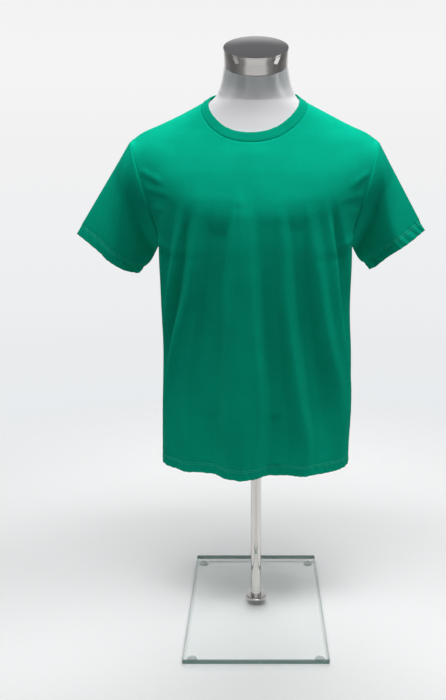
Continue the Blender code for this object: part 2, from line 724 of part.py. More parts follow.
def rib_grid(front_seam, back_seam, form_tree):
    """Rings of the neck rib, from the seam's points inward to the rib's free edge."""
    seam = front_seam + back_seam[1:-1]
    left = Vector((CORNERS["left"]["rib"][0], RIDGE_Y, CORNERS["left"]["rib"][1]))
    right = Vector((CORNERS["right"]["rib"][0], RIDGE_Y, CORNERS["right"]["rib"][1]))
    half_way = (left + right) / 2
    front_count = len(front_seam) - 1
    back_count = len(back_seam) - 1
    edge = []
    for place in range(len(seam)):
        by_front = place <= front_count
        share = place / front_count if by_front else 1 - (place - front_count) / back_count
        across = -math.cos(row_place(share))
        middle = Vector(RIB_FRONT if by_front else RIB_BACK)
        bow = max(1 - abs(across) ** RIB_FULLNESS, 0.0) ** (1 / RIB_FULLNESS)
        edge.append(left.lerp(right, (across + 1) / 2) + (middle - half_way) * bow)
    grid = []
    for ring in range(RIB_ROWS + 1):
        down = ring / RIB_ROWS
        line = [start.lerp(end, down) for start, end in zip(seam, edge)]
        grid.append(line if ring == 0 else [clear_of(form_tree, point) for point in line])
    return grid


def add_grid(sheet, tag, grid, closed, flipped=False):
    """Add a grid's points and quads to the sheet, with the piece's tag on each quad."""
    tags = sheet.faces.layers.int["piece"]
    verts = [[sheet.verts.new(point) for point in line] for line in grid]
    count = len(grid[0])
    for lower, upper in zip(verts, verts[1:]):
        for column in range(count if closed else count - 1):
            ahead = (column + 1) % count
            corners = [lower[column], lower[ahead], upper[ahead], upper[column]]
            if flipped:
                corners.reverse()
            sheet.faces.new(corners)[tags] = tag


PIECES = ("front_panel", "back_panel", "left_sleeve", "right_sleeve", "neck_rib")
SLEEVE_TAGS = (2, 3)


def shirt_sheet(form_tree):
    """All of the shirt as one sheet with shared seams, each face tagged with its piece."""
    sheet = bmesh.new()
    sheet.faces.layers.int.new("piece")
    front = panel_grid(FRONT_ROWS, FRONT_DRAPE, -1, FRONT_COLUMNS, form_tree)
    back = panel_grid(BACK_ROWS, BACK_DRAPE, 1, BACK_COLUMNS, form_tree)
    add_grid(sheet, 0, front, closed=False)
    add_grid(sheet, 1, back, closed=False)
    arm = range(SIDE_ROWS, SIDE_ROWS + ARM_ROWS + 1)
    for tag, side, front_column, back_column in ((2, "left", 0, -1), (3, "right", -1, 0)):
        climb = [front[row][front_column] for row in arm]
        descent = [back[row][back_column] for row in reversed(arm)]
        loop = climb + descent[1:-1]
        grid = sleeve_grid(side, loop, form_tree)
        add_grid(sheet, tag, grid, closed=True, flipped=side == "right")
    add_grid(sheet, 4, rib_grid(front[-1], back[-1], form_tree), closed=True)
    bmesh.ops.remove_doubles(sheet, verts=sheet.verts, dist=MERGE_DISTANCE)
    bmesh.ops.triangulate(sheet, faces=sheet.faces, quad_method="SHORT_EDGE")
    sheet.normal_update()
    sheet.verts.index_update()
    return sheet


# Shirt: the walls ----------------------------------------------------------------------------------------------


def drawn_back(vert, faces):
    """How far a point on the rim of a piece is drawn back into the piece, square to each of its seams."""
    directions = []
    for edge in vert.link_edges:
        beside = [face for face in edge.link_faces if face in faces]
        if len(beside) != 1:
            continue
        face = beside[0]
        along_edge = (edge.verts[1].co - edge.verts[0].co).normalized()
        inward = face.normal.cross(along_edge)
        if inward.dot(face.calc_center_median() - edge.verts[0].co) < 0:
            inward.negate()
        directions.append(inward)
    if not directions:
        return Vector((0, 0, 0))
    first, second = directions
    return (first + second) * (SEAM_GAP / 2) / max(1 + first.dot(second), 0.5)


def wall_direction(vert, sleeve_tags, tags):
    """The way from the inner to the outer side, which halves the angle where a sleeve meets the body."""
    groups = []
    for wanted in (True, False):
        total = Vector((0, 0, 0))
        for face in vert.link_faces:
            if (face[tags] in sleeve_tags) == wanted:
                total += face.normal * face.calc_area()
        if total.length > 0:
            groups.append(total.normalized())
    if len(groups) == 1:
        return vert.normal
    halfway = (groups[0] + groups[1]).normalized()
    return halfway * min(1 / max(halfway.dot(groups[0]), 0.5), 2.0)


def rim_triangles(start, end, inner, outer):
    """A rim's quad in two triangles, which split it the same way for the two pieces that meet there."""
    if start.index < end.index:
        return (outer[end], outer[start], inner[end]), (outer[start], inner[start], inner[end])
    return (outer[end], outer[start], inner[start]), (outer[end], inner[start], inner[end])


def piece_wall(name, tag, sheet, wall, material, parent):
    """One piece of the sheet as a closed wall, its thickness added on the outer side."""
    tags = sheet.faces.layers.int["piece"]
    faces = set(face for face in sheet.faces if face[tags] == tag)
    solid = bmesh.new()
    inner = {}
    outer = {}
    for vert in sheet.verts:
        if not faces.intersection(vert.link_faces):
            continue
        inside = vert.co + drawn_back(vert, faces)
        inner[vert] = solid.verts.new(inside)
        outer[vert] = solid.verts.new(inside + wall_direction(vert, SLEEVE_TAGS, tags) * wall)
    for face in sheet.faces:
        if face not in faces:
            continue
        solid.faces.new([outer[vert] for vert in face.verts])
        solid.faces.new([inner[vert] for vert in reversed(face.verts)])
        for loop in face.loops:
            if all(other is face or other not in faces for other in loop.edge.link_faces):
                for corners in rim_triangles(loop.vert, loop.link_loop_next.vert, inner, outer):
                    solid.faces.new(corners)
    mesh = bpy.data.meshes.new(name)
    solid.to_mesh(mesh)
    solid.free()
    mesh.shade_smooth()
    mesh.set_sharp_from_angle(angle=SMOOTH_UP_TO)
    return add_object(name, mesh, material, parent)


def shirt(parent, form):
    form_tree = BVHTree.FromPolygons(
        [vert.co for vert in form.data.vertices],
        [list(face.vertices) for face in form.data.polygons],
    )
    sheet = shirt_sheet(form_tree)
    for tag, name in enumerate(PIECES):
        is_rib = name == "neck_rib"
        wall = RIB_WALL if is_rib else WALL
        piece_wall(name, tag, sheet, wall, "green_rib" if is_rib else "green_jersey", parent)
    sheet.free()


clear_scene()
plate_middle = add_empty("plate_middle", (POLE_X, 0, 0))
pole_axis = add_empty("pole_axis", (POLE_X, POLE_Y, 0))
glass_plate(plate_middle)
feet(plate_middle)
pole_and_flange(pole_axis)
torso = torso_form(pole_axis)
neck_cap(pole_axis)
shirt(pole_axis, torso)
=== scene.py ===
"""A green crew-neck t-shirt on a white torso form, which a bright pole and a glass base hold up.

Metres, +Z up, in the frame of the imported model. The front faces -Y and the left side is -X, as seen by
someone who faces the shirt. The sections follow the object as it is put together: base, pole, form, shirt.
"""
import math

import bmesh
import bpy
import numpy as np
from mathutils import Matrix, Vector
from mathutils.bvhtree import BVHTree


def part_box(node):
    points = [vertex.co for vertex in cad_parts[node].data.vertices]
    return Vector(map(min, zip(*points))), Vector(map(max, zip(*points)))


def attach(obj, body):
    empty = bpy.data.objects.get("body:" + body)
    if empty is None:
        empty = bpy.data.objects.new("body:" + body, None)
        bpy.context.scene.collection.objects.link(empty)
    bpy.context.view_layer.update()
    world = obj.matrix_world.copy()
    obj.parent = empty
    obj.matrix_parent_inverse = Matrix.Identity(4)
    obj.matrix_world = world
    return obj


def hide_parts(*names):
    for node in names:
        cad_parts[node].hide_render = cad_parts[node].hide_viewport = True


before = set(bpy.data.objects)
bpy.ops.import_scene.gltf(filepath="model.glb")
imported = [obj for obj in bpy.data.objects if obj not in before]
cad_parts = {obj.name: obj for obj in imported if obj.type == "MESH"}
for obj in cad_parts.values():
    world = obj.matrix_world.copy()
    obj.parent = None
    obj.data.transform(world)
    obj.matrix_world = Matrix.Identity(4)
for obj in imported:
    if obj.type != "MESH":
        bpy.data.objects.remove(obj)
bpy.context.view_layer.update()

# View --------------------------------------------------------
# The photograph looks down a little on the whole stand from chest height, in front of the pole. The
# object stands right of the picture's middle, which is all that the shift is for.

camera_data = bpy.data.cameras.new("view")
camera_data.lens = 40.0
camera_data.sensor_width = 36.0
camera_data.shift_x = -0.0471
camera = bpy.data.objects.new("view", camera_data)
camera.location = (0.0095, -1.492, 0.9373)
camera.rotation_euler = (math.radians(76.14), 0.0, 0.0)
bpy.context.scene.collection.objects.link(camera)
bpy.context.scene.camera = camera
bpy.context.scene.view_settings.view_transform = "Standard"

# Studio ------------------------------------------------------
# A white floor, soft boxes that hang over the shirt, weak ones at its sides, and a wide one that lights
# the floor from behind. The room in front is dim, so that the cloth is lit from above, as in the
# photograph.


def linear(code):
    """An sRGB hex colour as a linear one with alpha."""
    channels = [int(code[place:place + 2], 16) / 255 for place in (0, 2, 4)]
    lit = [c / 12.92 if c <= 0.04045 else ((c + 0.055) / 1.055) ** 2.4 for c in channels]
    return (*lit, 1.0)


def add_node(tree, kind, settings, links=()):
    """Add a node, fill its sockets or properties by name, and feed sockets from other nodes' outputs."""
    node = tree.nodes.new(kind)
    for name, value in settings.items():
        if isinstance(name, int) or name in node.inputs:
            node.inputs[name].default_value = value
        else:
            setattr(node, name, value)
    for name, source in dict(links).items():
        tree.links.new(source, node.inputs[name])
    return node


def new_material(name, settings):
    """A Principled material of that name, with the shader's own sockets set."""
    material = bpy.data.materials.new(name)
    material.use_nodes = True
    shader = material.node_tree.nodes["Principled BSDF"]
    for socket, value in settings.items():
        shader.inputs[socket].default_value = value
    return material, material.node_tree, shader


def new_object(name, mesh, material):
    item = bpy.data.objects.new(name, mesh)
    mesh.materials.append(material)
    bpy.context.scene.collection.objects.link(item)
    return item


def new_mesh_object(name, points, faces, material, sharp_angle=None):
    """A smooth object over points and faces, with hard edges past an angle in degrees if one is given."""
    mesh = bpy.data.meshes.new(name)
    mesh.from_pydata(points.tolist(), [], faces)
    mesh.shade_smooth()
    if sharp_angle is not None:
        mesh.set_sharp_from_angle(angle=math.radians(sharp_angle))
    return new_object(name, mesh, material)


# White laminate: a smooth melamine face, a little uneven in its gloss. The sheet fades out some way
# off, so that the pale sweep behind it shows no edge.
FLOOR_REACH = 2.2
FADE_START = 0.75
FADE_END = 1.70
white_laminate, tree, shader = new_material(
    "white_laminate", {"Base Color": linear("F7F7F8"), "Roughness": 0.55, "Specular IOR Level": 0.3}
)
clouds = add_node(tree, "ShaderNodeTexNoise", {"Scale": 3.0, "Detail": 3.0})
gloss = add_node(
    tree, "ShaderNodeMapRange", {"To Min": 0.5, "To Max": 0.62}, {"Value": clouds.outputs["Fac"]}
)
tree.links.new(gloss.outputs["Result"], shader.inputs["Roughness"])
place = add_node(tree, "ShaderNodeTexCoord", {})
far = add_node(tree, "ShaderNodeVectorMath", {"operation": "LENGTH"}, {0: place.outputs["Object"]})
fade = add_node(
    tree,
    "ShaderNodeMapRange",
    {
        "interpolation_type": "SMOOTHSTEP",
        "From Min": FADE_START,
        "From Max": FADE_END,
        "To Min": 1.0,
        "To Max": 0.0,
    },
    {"Value": far.outputs["Value"]},
)
tree.links.new(fade.outputs["Result"], shader.inputs["Alpha"])

FLOOR_SIDES = 96
floor_shape = bmesh.new()
bmesh.ops.create_circle(floor_shape, cap_ends=True, segments=FLOOR_SIDES, radius=FLOOR_REACH)
floor_mesh = bpy.data.meshes.new("floor")
floor_shape.to_mesh(floor_mesh)
floor_shape.free()
floor = new_object("floor", floor_mesh, white_laminate)


def add_soft_box(name, place, aim, size, watts):
    """A rectangular light at a place, turned to what it lights."""
    lamp = bpy.data.lights.new(name, "AREA")
    lamp.shape = "RECTANGLE"
    lamp.size, lamp.size_y = size
    lamp.energy = watts
    item = bpy.data.objects.new(name, lamp)
    item.location = place
    item.rotation_euler = (Vector(aim) - Vector(place)).to_track_quat("-Z", "Y").to_euler()
    bpy.context.scene.collection.objects.link(item)
    return item


add_soft_box("overhead_front_box", (0.0, -0.60, 2.40), (0.0, 0.0, 0.80), (1.2, 0.5), 22.0)
add_soft_box("overhead_left_box", (-0.7, -0.20, 2.40), (0.0, 0.0, 0.80), (0.6, 0.6), 8.0)
add_soft_box("overhead_right_box", (0.7, -0.20, 2.40), (0.0, 0.0, 0.80), (0.6, 0.6), 14.0)
add_soft_box("left_box", (-2.3, -0.60, 1.00), (0.0, 0.0, 0.80), (0.8, 1.6), 1.2)
add_soft_box("right_box", (2.3, -0.40, 1.00), (0.0, 0.0, 0.80), (0.8, 1.6), 3.6)
back_box = add_soft_box("back_box", (0.0, 1.90, 2.60), (0.0, 0.6, 0.0), (3.0, 1.6), 51.8)
back_box.visible_glossy = False

# The sweep and the room, as the world: the picture sees the pale sweep, in these greys by the sine of
# the look's rise, and the light that falls from all round is dimmer.
SWEEP = ((-0.50, "F1F2F4"), (-0.42, "F5F5F7"), (-0.36, "EFF1F2"), (-0.30, "E9ECEE"), (-0.24, "E9EBED"),
         (-0.17, "ECEEEF"), (-0.07, "EFF0F1"), (0.0, "F1F1F2"), (0.11, "F4F4F5"), (0.20, "F2F2F3"))
DIM_ROOM = (0.004, 0.004, 0.004, 1.0)
# What the bright pieces mirror: the white table and sweep below and behind, a dim ceiling, and a dark
# room in front. The first ramp goes by the sine of the look's rise, the second by how far the look goes
# to a side.
MIRRORED_RISE = ((-1.0, "C8C8C8"), (-0.25, "DADADA"), (0.35, "E4E4E6"), (0.52, "C6C6C8"), (0.70, "76767A"),
                 (1.0, "6A6A6E"))
MIRRORED_SIDE = ((0.0, "FFFFFF"), (0.45, "FFFFFF"), (0.72, "A4A4A4"), (1.0, "787878"))
world = bpy.data.worlds.new("studio")
world.use_nodes = True
bpy.context.scene.world = world
tree = world.node_tree
look = add_node(tree, "ShaderNodeTexCoord", {})
parts = add_node(tree, "ShaderNodeSeparateXYZ", {}, {"Vector": look.outputs["Generated"]})


def add_ramp(tree, stops, value):
    """A colour ramp through stops of value and sRGB code."""
    start, end = stops[0][0], stops[-1][0]
    share = add_node(tree, "ShaderNodeMapRange", {"From Min": start, "From Max": end}, {"Value": value})
    node = add_node(tree, "ShaderNodeValToRGB", {}, {"Fac": share.outputs["Result"]})
    node.color_ramp.interpolation = "EASE"
    while len(node.color_ramp.elements) < len(stops):
        node.color_ramp.elements.new(0.5)
    for element, (at, code) in zip(node.color_ramp.elements, stops):
        element.position = (at - start) / (end - start)
        element.color = linear(code)
    return node


sweep = add_ramp(tree, SWEEP, parts.outputs["Z"])
aside = add_node(tree, "ShaderNodeMath", {"operation": "ABSOLUTE"}, {0: parts.outputs["X"]})
by_rise = add_ramp(tree, MIRRORED_RISE, parts.outputs["Z"])
by_side = add_ramp(tree, MIRRORED_SIDE, aside.outputs["Value"])
mirrored = add_node(
    tree,
    "ShaderNodeMix",
    {"data_type": "RGBA", "blend_type": "MULTIPLY", 0: 1.0},
    {6: by_rise.outputs["Color"], 7: by_side.outputs["Color"]},
)
seen = add_node(tree, "ShaderNodeLightPath", {})
bounced = add_node(
    tree,
    "ShaderNodeMix",
    {"data_type": "RGBA", 6: DIM_ROOM},
    {0: seen.outputs["Is Glossy Ray"], 7: mirrored.outputs[2]},
)
colour = add_node(
    tree,
    "ShaderNodeMix",
    {"data_type": "RGBA"},
    {0: seen.outputs["Is Camera Ray"], 6: bounced.outputs[2], 7: sweep.outputs["Color"]},
)
tree.links.new(colour.outputs[2], tree.nodes["Background"].inputs["Color"])

# Glass base --------------------------------------------------
# Clear float glass, 28 by 40 cm and 10 mm thick, with ground and polished edges. Iron in the glass
# makes it green where light runs far through it, so its front edge is dark green and its face only
# pale.

float_glass, tree, shader = new_material(
    "float_glass",
    {"Base Color": linear("E6F6F1"), "Roughness": 0.01, "IOR": 1.52, "Alpha": 0.07},
)
# The same glass, seen edge on: a dark green that hardly lets light through.
polished_edge, tree, shader = new_material(
    "polished_glass_edge",
    {"Base Color": linear("5C8A80"), "Roughness": 0.08, "IOR": 1.52, "Alpha": 0.92},
)

PLATE_CORNER = 0.0012
PLATE_CHAMFER = 0.0008
plate_low, plate_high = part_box("glass_plate")
plate_shape = bmesh.new()
bmesh.ops.create_cube(plate_shape, size=1.0)
bmesh.ops.scale(plate_shape, vec=plate_high - plate_low, verts=plate_shape.verts)
bmesh.ops.translate(plate_shape, vec=(plate_high + plate_low) / 2, verts=plate_shape.verts)
upright = [e for e in plate_shape.edges if abs(e.verts[0].co.z - e.verts[1].co.z) > 0.001]
bmesh.ops.bevel(plate_shape, geom=upright, offset=PLATE_CORNER, segments=3, affect="EDGES")
around = [e for e in plate_shape.edges if len({f.normal.to_tuple(1)[2] for f in e.link_faces}) == 2]
bmesh.ops.bevel(plate_shape, geom=around, offset=PLATE_CHAMFER, segments=2, affect="EDGES")
plate_mesh = bpy.data.meshes.new("glass_base")
plate_shape.to_mesh(plate_mesh)
plate_shape.free()
glass_base = new_object("glass_base", plate_mesh, float_glass)
plate_mesh.materials.append(polished_edge)
for face in plate_mesh.polygons:
    face.material_index = 1 if abs(face.normal.z) < 0.9 else 0
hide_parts("glass_plate")
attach(glass_base, "root")

# Clear bumpers: soft polyurethane domes, stuck under the glass near its corners. They look milky.

clear_polyurethane, tree, shader = new_material(
    "clear_polyurethane",
    {"Base Color": linear("EEF4F2"), "Roughness": 0.18, "IOR": 1.49, "Transmission Weight": 0.55},
)


def turned(name, profile, sides, material, place=(0.0, 0.0, 0.0), lean=0.0):
    """A mesh turned from radius and height pairs, closed where the profile meets its axis."""
    shape = bmesh.new()
    rings = []
    for radius, height in profile:
        if radius == 0.0:
            rings.append([shape.verts.new((0.0, 0.0, height))])
            continue
        turns = [2 * math.pi * side / sides for side in range(sides)]
        rings.append([shape.verts.new((radius * math.cos(t), radius * math.sin(t), height)) for t in turns])
    pairs = list(zip(rings, rings[1:]))
    if len(rings[0]) > 1 and len(rings[-1]) > 1:
        pairs.append((rings[-1], rings[0]))
    for lower, upper in pairs:
        for side in range(sides):
            ahead = (side + 1) % sides
            corners = [lower[side % len(lower)], lower[ahead % len(lower)]]
            corners += [upper[ahead % len(upper)], upper[side % len(upper)]]
            shape.faces.new(list(dict.fromkeys(corners)))
    bmesh.ops.recalc_face_normals(shape, faces=shape.faces)
    mesh = bpy.data.meshes.new(name)
    shape.to_mesh(mesh)
    shape.free()
    mesh.transform(Matrix.Translation(place) @ Matrix.Rotation(lean, 4, "X"))
    mesh.shade_smooth()
    mesh.set_sharp_from_angle(angle=math.radians(35))
    return new_object(name, mesh, material)


BUMPER_SIDES = 32
BUMPER_STEPS = 6
BUMPER_FOOT = 0.55
BUMPER_WAIST = 0.70
BUMPER_LIFT = 0.08
for corner in ("front_left", "front_right", "rear_left", "rear_right"):
    low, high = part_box("foot_" + corner)
    radius = (high.x - low.x) / 2
    height = high.z - low.z
    dome = [(0.0, 0.0), (radius * BUMPER_FOOT, 0.0)]
    for step in range(BUMPER_STEPS):
        rise = step / (BUMPER_STEPS - 1)
        out = BUMPER_WAIST + (1 - BUMPER_WAIST) * math.sin(rise * math.pi / 2)
        dome.append((radius * out, height * (BUMPER_LIFT + (1 - BUMPER_LIFT) * rise)))
    dome.append((0.0, height))
    middle = ((low.x + high.x) / 2, (low.y + high.y) / 2, low.z)
    bumper = turned("bumper_" + corner, dome, BUMPER_SIDES, clear_polyurethane, middle)
    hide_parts("foot_" + corner)
    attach(bumper, "root")

# Pole and flange ---------------------------------------------
# A 22 mm steel tube and the turned disc that bolts it to the glass, both polished and chrome plated.
# The plating is mirror bright, with the faint lengthwise lines of the tube's drawing under it.

chrome_plate, tree, shader = new_material(
    "chrome_plate", {"Base Color": linear("D9D6D3"), "Metallic": 1.0, "Roughness": 0.09}
)
place = add_node(tree, "ShaderNodeTexCoord", {})
stretched = add_node(
    tree, "ShaderNodeMapping", {"Scale": (900.0, 900.0, 6.0)}, {"Vector": place.outputs["Object"]}
)
lines = add_node(
    tree, "ShaderNodeTexNoise", {"Scale": 1.0, "Detail": 2.0}, {"Vector": stretched.outputs["Vector"]}
)
polish = add_node(
    tree, "ShaderNodeMapRange", {"To Min": 0.06, "To Max": 0.13}, {"Value": lines.outputs["Fac"]}
)
tree.links.new(polish.outputs["Result"], shader.inputs["Roughness"])

TUBE_SIDES = 64
TUBE_EDGE = 0.0006
pole_low, pole_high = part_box("pole")
pole_middle = ((pole_low.x + pole_high.x) / 2, (pole_low.y + pole_high.y) / 2, pole_low.z)
pole_radius = (pole_high.x - pole_low.x) / 2
pole_length = pole_high.z - pole_low.z
tube_profile = [(0.0, 0.0), (pole_radius - TUBE_EDGE, 0.0), (pole_radius, TUBE_EDGE)]
tube_profile += [(pole_radius, pole_length * share) for share in (0.25, 0.5, 0.75)]
tube_profile += [(pole_radius, pole_length), (0.0, pole_length)]
tube = turned("pole_tube", tube_profile, TUBE_SIDES, chrome_plate, pole_middle)
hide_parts("pole")
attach(tube, "root")

flange_low, flange_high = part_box("pole_flange")
flange_radius = (flange_high.x - flange_low.x) / 2
flange_height = flange_high.z - flange_low.z
FLANGE_PLAY = 0.0003
FLANGE_EDGE = 0.0004
FLANGE_ROUND = 0.0012
FLANGE_STEPS = 5
flange_profile = [(pole_radius + FLANGE_PLAY, 0.0)]
flange_profile += [(flange_radius - FLANGE_EDGE, 0.0), (flange_radius, FLANGE_EDGE)]
for step in range(FLANGE_STEPS):
    turn = step / (FLANGE_STEPS - 1) * math.pi / 2
    out = flange_radius - FLANGE_ROUND * (1 - math.cos(turn))
    flange_profile.append((out, flange_height - FLANGE_ROUND * (1 - math.sin(turn))))
flange_profile.append((pole_radius + 0.0010, flange_height))
flange_profile.append((pole_radius + FLANGE_PLAY, flange_height - TUBE_EDGE))
flange_middle = (*pole_middle[:2], flange_low.z)
flange = turned("pole_foot_disc", flange_profile, TUBE_SIDES, chrome_plate, flange_middle)
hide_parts("pole_flange")
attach(flange, "root")

# Torso form --------------------------------------------------
# A limbless torso with a neck, moulded in glass-fibre resin and sprayed with white lacquer: a hard, wet
# gloss over a very smooth surface.

POLE_X = 0.0095
POLE_Y = 0.023
SIDE_SEAM_Y = 0.014
CAP_Y = -0.030
CAP_Z = 1.131
CAP_RADIUS = 0.058
CAP_HEIGHT = 0.031
NECK_TILT = math.radians(26.0)

white_lacquer, tree, shader = new_material(
    "white_lacquer",
    {
        "Base Color": linear("F1F0F4"),
        "Roughness": 0.16,
        "IOR": 1.7,
        "Coat Weight": 1.0,
        "Coat IOR": 1.7,
        "Coat Roughness": 0.03,
    },
)
orange_peel = add_node(tree, "ShaderNodeTexNoise", {"Scale": 90.0, "Detail": 1.0})
ripple = add_node(
    tree, "ShaderNodeBump", {"Strength": 0.04, "Distance": 0.001}, {"Height": orange_peel.outputs["Fac"]}
)
tree.links.new(ripple.outputs["Normal"], shader.inputs["Normal"])
tree.links.new(ripple.outputs["Normal"], shader.inputs["Coat Normal"])

# Level rings of the torso. corner is the exponent of a ring's outline: 2 is an ellipse, less is leaner.
FORM_RINGS = (
    ("z", "half_width", "front_y", "back_y", "corner"),
    (0.450, 0.150, -0.076, 0.098, 2.30),
    (0.500, 0.152, -0.079, 0.103, 2.30),
    (0.560, 0.148, -0.078, 0.101, 2.30),
    (0.620, 0.146, -0.079, 0.097, 2.30),
    (0.680, 0.150, -0.083, 0.099, 2.30),
    (0.740, 0.160, -0.091, 0.109, 2.35),
    (0.790, 0.170, -0.1030, 0.118, 2.42),
    (0.830, 0.182, -0.1090, 0.123, 2.50),
    (0.860, 0.198, -0.1060, 0.124, 2.55),
    (0.885, 0.212, -0.0990, 0.123, 2.50),
    (0.910, 0.223, -0.0915, 0.119, 2.35),
    (0.930, 0.228, -0.0840, 0.114, 2.15),
    (0.946, 0.2275, -0.0780, 0.109, 1.95),
    (0.958, 0.2225, -0.0725, 0.104, 1.88),
    (0.968, 0.2145, -0.0685, 0.100, 1.82),
    (0.978, 0.202, -0.0650, 0.095, 1.75),
    (0.988, 0.187, -0.0620, 0.090, 1.66),
    (0.999, 0.168, -0.0600, 0.085, 1.60),
    (1.011, 0.145, -0.0580, 0.079, 1.58),
    (1.024, 0.119, -0.0565, 0.073, 1.64),
    (1.036, 0.095, -0.0550, 0.067, 1.80),
)
# The neck's rings lean forward step by step, up to the cap.
NECK_RINGS = (
    ("z", "centre_y", "half_width", "half_depth", "tilt"),
    (1.048, 0.006, 0.0760, 0.0610, 8.0),
    (1.058, 0.003, 0.0700, 0.0600, 12.0),
    (1.072, -0.002, 0.0645, 0.0590, 17.0),
    (1.087, -0.009, 0.0610, 0.0580, 22.0),
)
FORM_SIDES = 144
FORM_STEP = 0.006
FOOT_SHARES = (0.35, 0.7, 0.9, 0.985)
NECK_GAP = 0.0003
NECK_RING_STEPS = 4


def smooth_way(start, end, start_slope, end_slope, share):
    """A place on a smooth curve from start to end, with these slopes over the whole way."""
    run = end - start
    pull = (start_slope - run) * (1 - share) - (end_slope - run) * share
    return start + run * share + share * (1 - share) * pull


def along(table, at, column):
    """Read a column of a table at a place between its rows, on a smooth curve through them."""
    names = table[0]
    rows = table[1:]
    wanted = names.index(column)
    at = min(max(at, rows[0][0]), rows[-1][0])
    low = 0
    while low < len(rows) - 2 and rows[low + 1][0] < at:
        low += 1

    def slope(index):
        before = max(index - 1, 0)
        after = min(index + 1, len(rows) - 1)
        return (rows[after][wanted] - rows[before][wanted]) / (rows[after][0] - rows[before][0])

    span = rows[low + 1][0] - rows[low][0]
    share = (at - rows[low][0]) / span
    start, end = rows[low][wanted], rows[low + 1][wanted]
    return smooth_way(start, end, slope(low) * span, slope(low + 1) * span, share)


def form_ring(z):
    """A level ring of the torso: two half outlines of one width, to the front and to the back."""
    turn = 2 * math.pi * np.arange(FORM_SIDES) / FORM_SIDES
    power = 2 / along(FORM_RINGS, z, "corner")
    across, depth = np.cos(turn), np.sin(turn)
    front_y, back_y = along(FORM_RINGS, z, "front_y"), along(FORM_RINGS, z, "back_y")
    reach = np.where(depth > 0, back_y - SIDE_SEAM_Y, SIDE_SEAM_Y - front_y)
    x = along(FORM_RINGS, z, "half_width") * np.sign(across) * np.abs(across) ** power
    y = SIDE_SEAM_Y + reach * np.sign(depth) * np.abs(depth) ** power
    return np.stack((x, y, np.full(FORM_SIDES, z)), axis=1)


def neck_ring(z, centre_y, half_width, half_depth, tilt):
    """A ring of the neck, whose plane leans forward by the tilt in degrees."""
    turn = 2 * math.pi * np.arange(FORM_SIDES) / FORM_SIDES
    lean = math.radians(tilt)
    y = centre_y + half_depth * np.sin(turn) * math.cos(lean)
    return np.stack((half_width * np.cos(turn), y, z + half_depth * np.sin(turn) * math.sin(lean)), axis=1)


def smooth_rings(rings, steps):
    """More rings between these, on smooth curves through them."""
    rings = np.array(rings)
    slopes = np.gradient(rings, axis=0)
    found = []
    for low in range(len(rings) - 1):
        start, end = rings[low], rings[low + 1]
        for step in range(steps):
            found.append(smooth_way(start, end, slopes[low], slopes[low + 1], step / steps))
    return found + [rings[-1]]


torso_levels = np.arange(FORM_RINGS[1][0], FORM_RINGS[-1][0], FORM_STEP)
torso_rings = [form_ring(z) for z in torso_levels[:-1]] + [form_ring(FORM_RINGS[-1][0])]
cap_foot_y = CAP_Y + CAP_HEIGHT * math.sin(NECK_TILT)
cap_foot_z = CAP_Z - CAP_HEIGHT * math.cos(NECK_TILT)
neck_tilt = math.degrees(NECK_TILT)
neck_top = neck_ring(cap_foot_z - NECK_GAP, cap_foot_y, CAP_RADIUS, CAP_RADIUS, neck_tilt)
neck_rings = [torso_rings[-1]] + [neck_ring(*row) for row in NECK_RINGS[1:]] + [neck_top]
neck_rings = smooth_rings(neck_rings, NECK_RING_STEPS)
foot_ring = torso_rings[0]
foot_middle = np.array((0.0, SIDE_SEAM_Y, FORM_RINGS[1][0]))
foot_rings = [foot_middle + (foot_ring - foot_middle) * share for share in FOOT_SHARES]
form_rings = foot_rings + torso_rings + neck_rings[1:]
form_points = np.concatenate([ring + np.array((POLE_X, POLE_Y, 0.0)) for ring in form_rings])
form_faces = []
for row in range(len(form_rings) - 1):
    for side in range(FORM_SIDES):
        a, b = row * FORM_SIDES + side, row * FORM_SIDES + (side + 1) % FORM_SIDES
        form_faces.append((a, b, b + FORM_SIDES, a + FORM_SIDES))
form_faces.append(tuple(range(FORM_SIDES - 1, -1, -1)))
form_faces.append(tuple(range(len(form_points) - FORM_SIDES, len(form_points))))
form = new_mesh_object("torso", form_points, form_faces, white_lacquer, 40)
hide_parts("form_torso")
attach(form, "root")

# Cap ---------------------------------------------------------
# A spun and plated steel band with a domed lid, which close the neck. They lean forward with it.

cap_middle = (POLE_X, POLE_Y + CAP_Y, CAP_Z)
CAP_SIDES = 96
BAND_WALL = 0.002
BAND_EDGE = 0.0006
BAND_TOP = -0.0033
band_profile = [(CAP_RADIUS - BAND_WALL, -CAP_HEIGHT), (CAP_RADIUS - BAND_EDGE, -CAP_HEIGHT)]
band_profile += [(CAP_RADIUS, -CAP_HEIGHT + BAND_EDGE), (CAP_RADIUS, -0.0160), (CAP_RADIUS, -0.0042)]
band_profile += [(CAP_RADIUS - BAND_EDGE, BAND_TOP), (CAP_RADIUS - BAND_WALL, BAND_TOP)]
band = turned("neck_band", band_profile, CAP_SIDES, chrome_plate, cap_middle, NECK_TILT)
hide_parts("cap_band")
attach(band, "root")

LID_RADIUS = 0.0592
LID_RISE = 0.0035
LID_FOOT = -0.003
LID_INSET = 0.99
LID_STEPS = 12
lid_profile = [(0.0, LID_FOOT), (LID_RADIUS - 0.0008, LID_FOOT)]
lid_profile += [(LID_RADIUS, -0.0022), (LID_RADIUS, -0.0014)]
for step in range(LID_STEPS):
    share = math.cos(step / LID_STEPS * math.pi / 2)
    lid_profile.append((LID_RADIUS * share * LID_INSET, LID_RISE * (1 - share ** 2)))
lid_profile.append((0.0, LID_RISE))
lid = turned("neck_lid", lid_profile, CAP_SIDES, chrome_plate, cap_middle, NECK_TILT)
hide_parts("cap_lid")
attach(lid, "root")

# Shirt: the cut and its drape --------------------------------
# The cloth is cotton single jersey. It rests on the form's shoulders and chest, and hangs in soft folds
# from there. Tables give its rows and folds about the pole's axis; their first row names the columns.

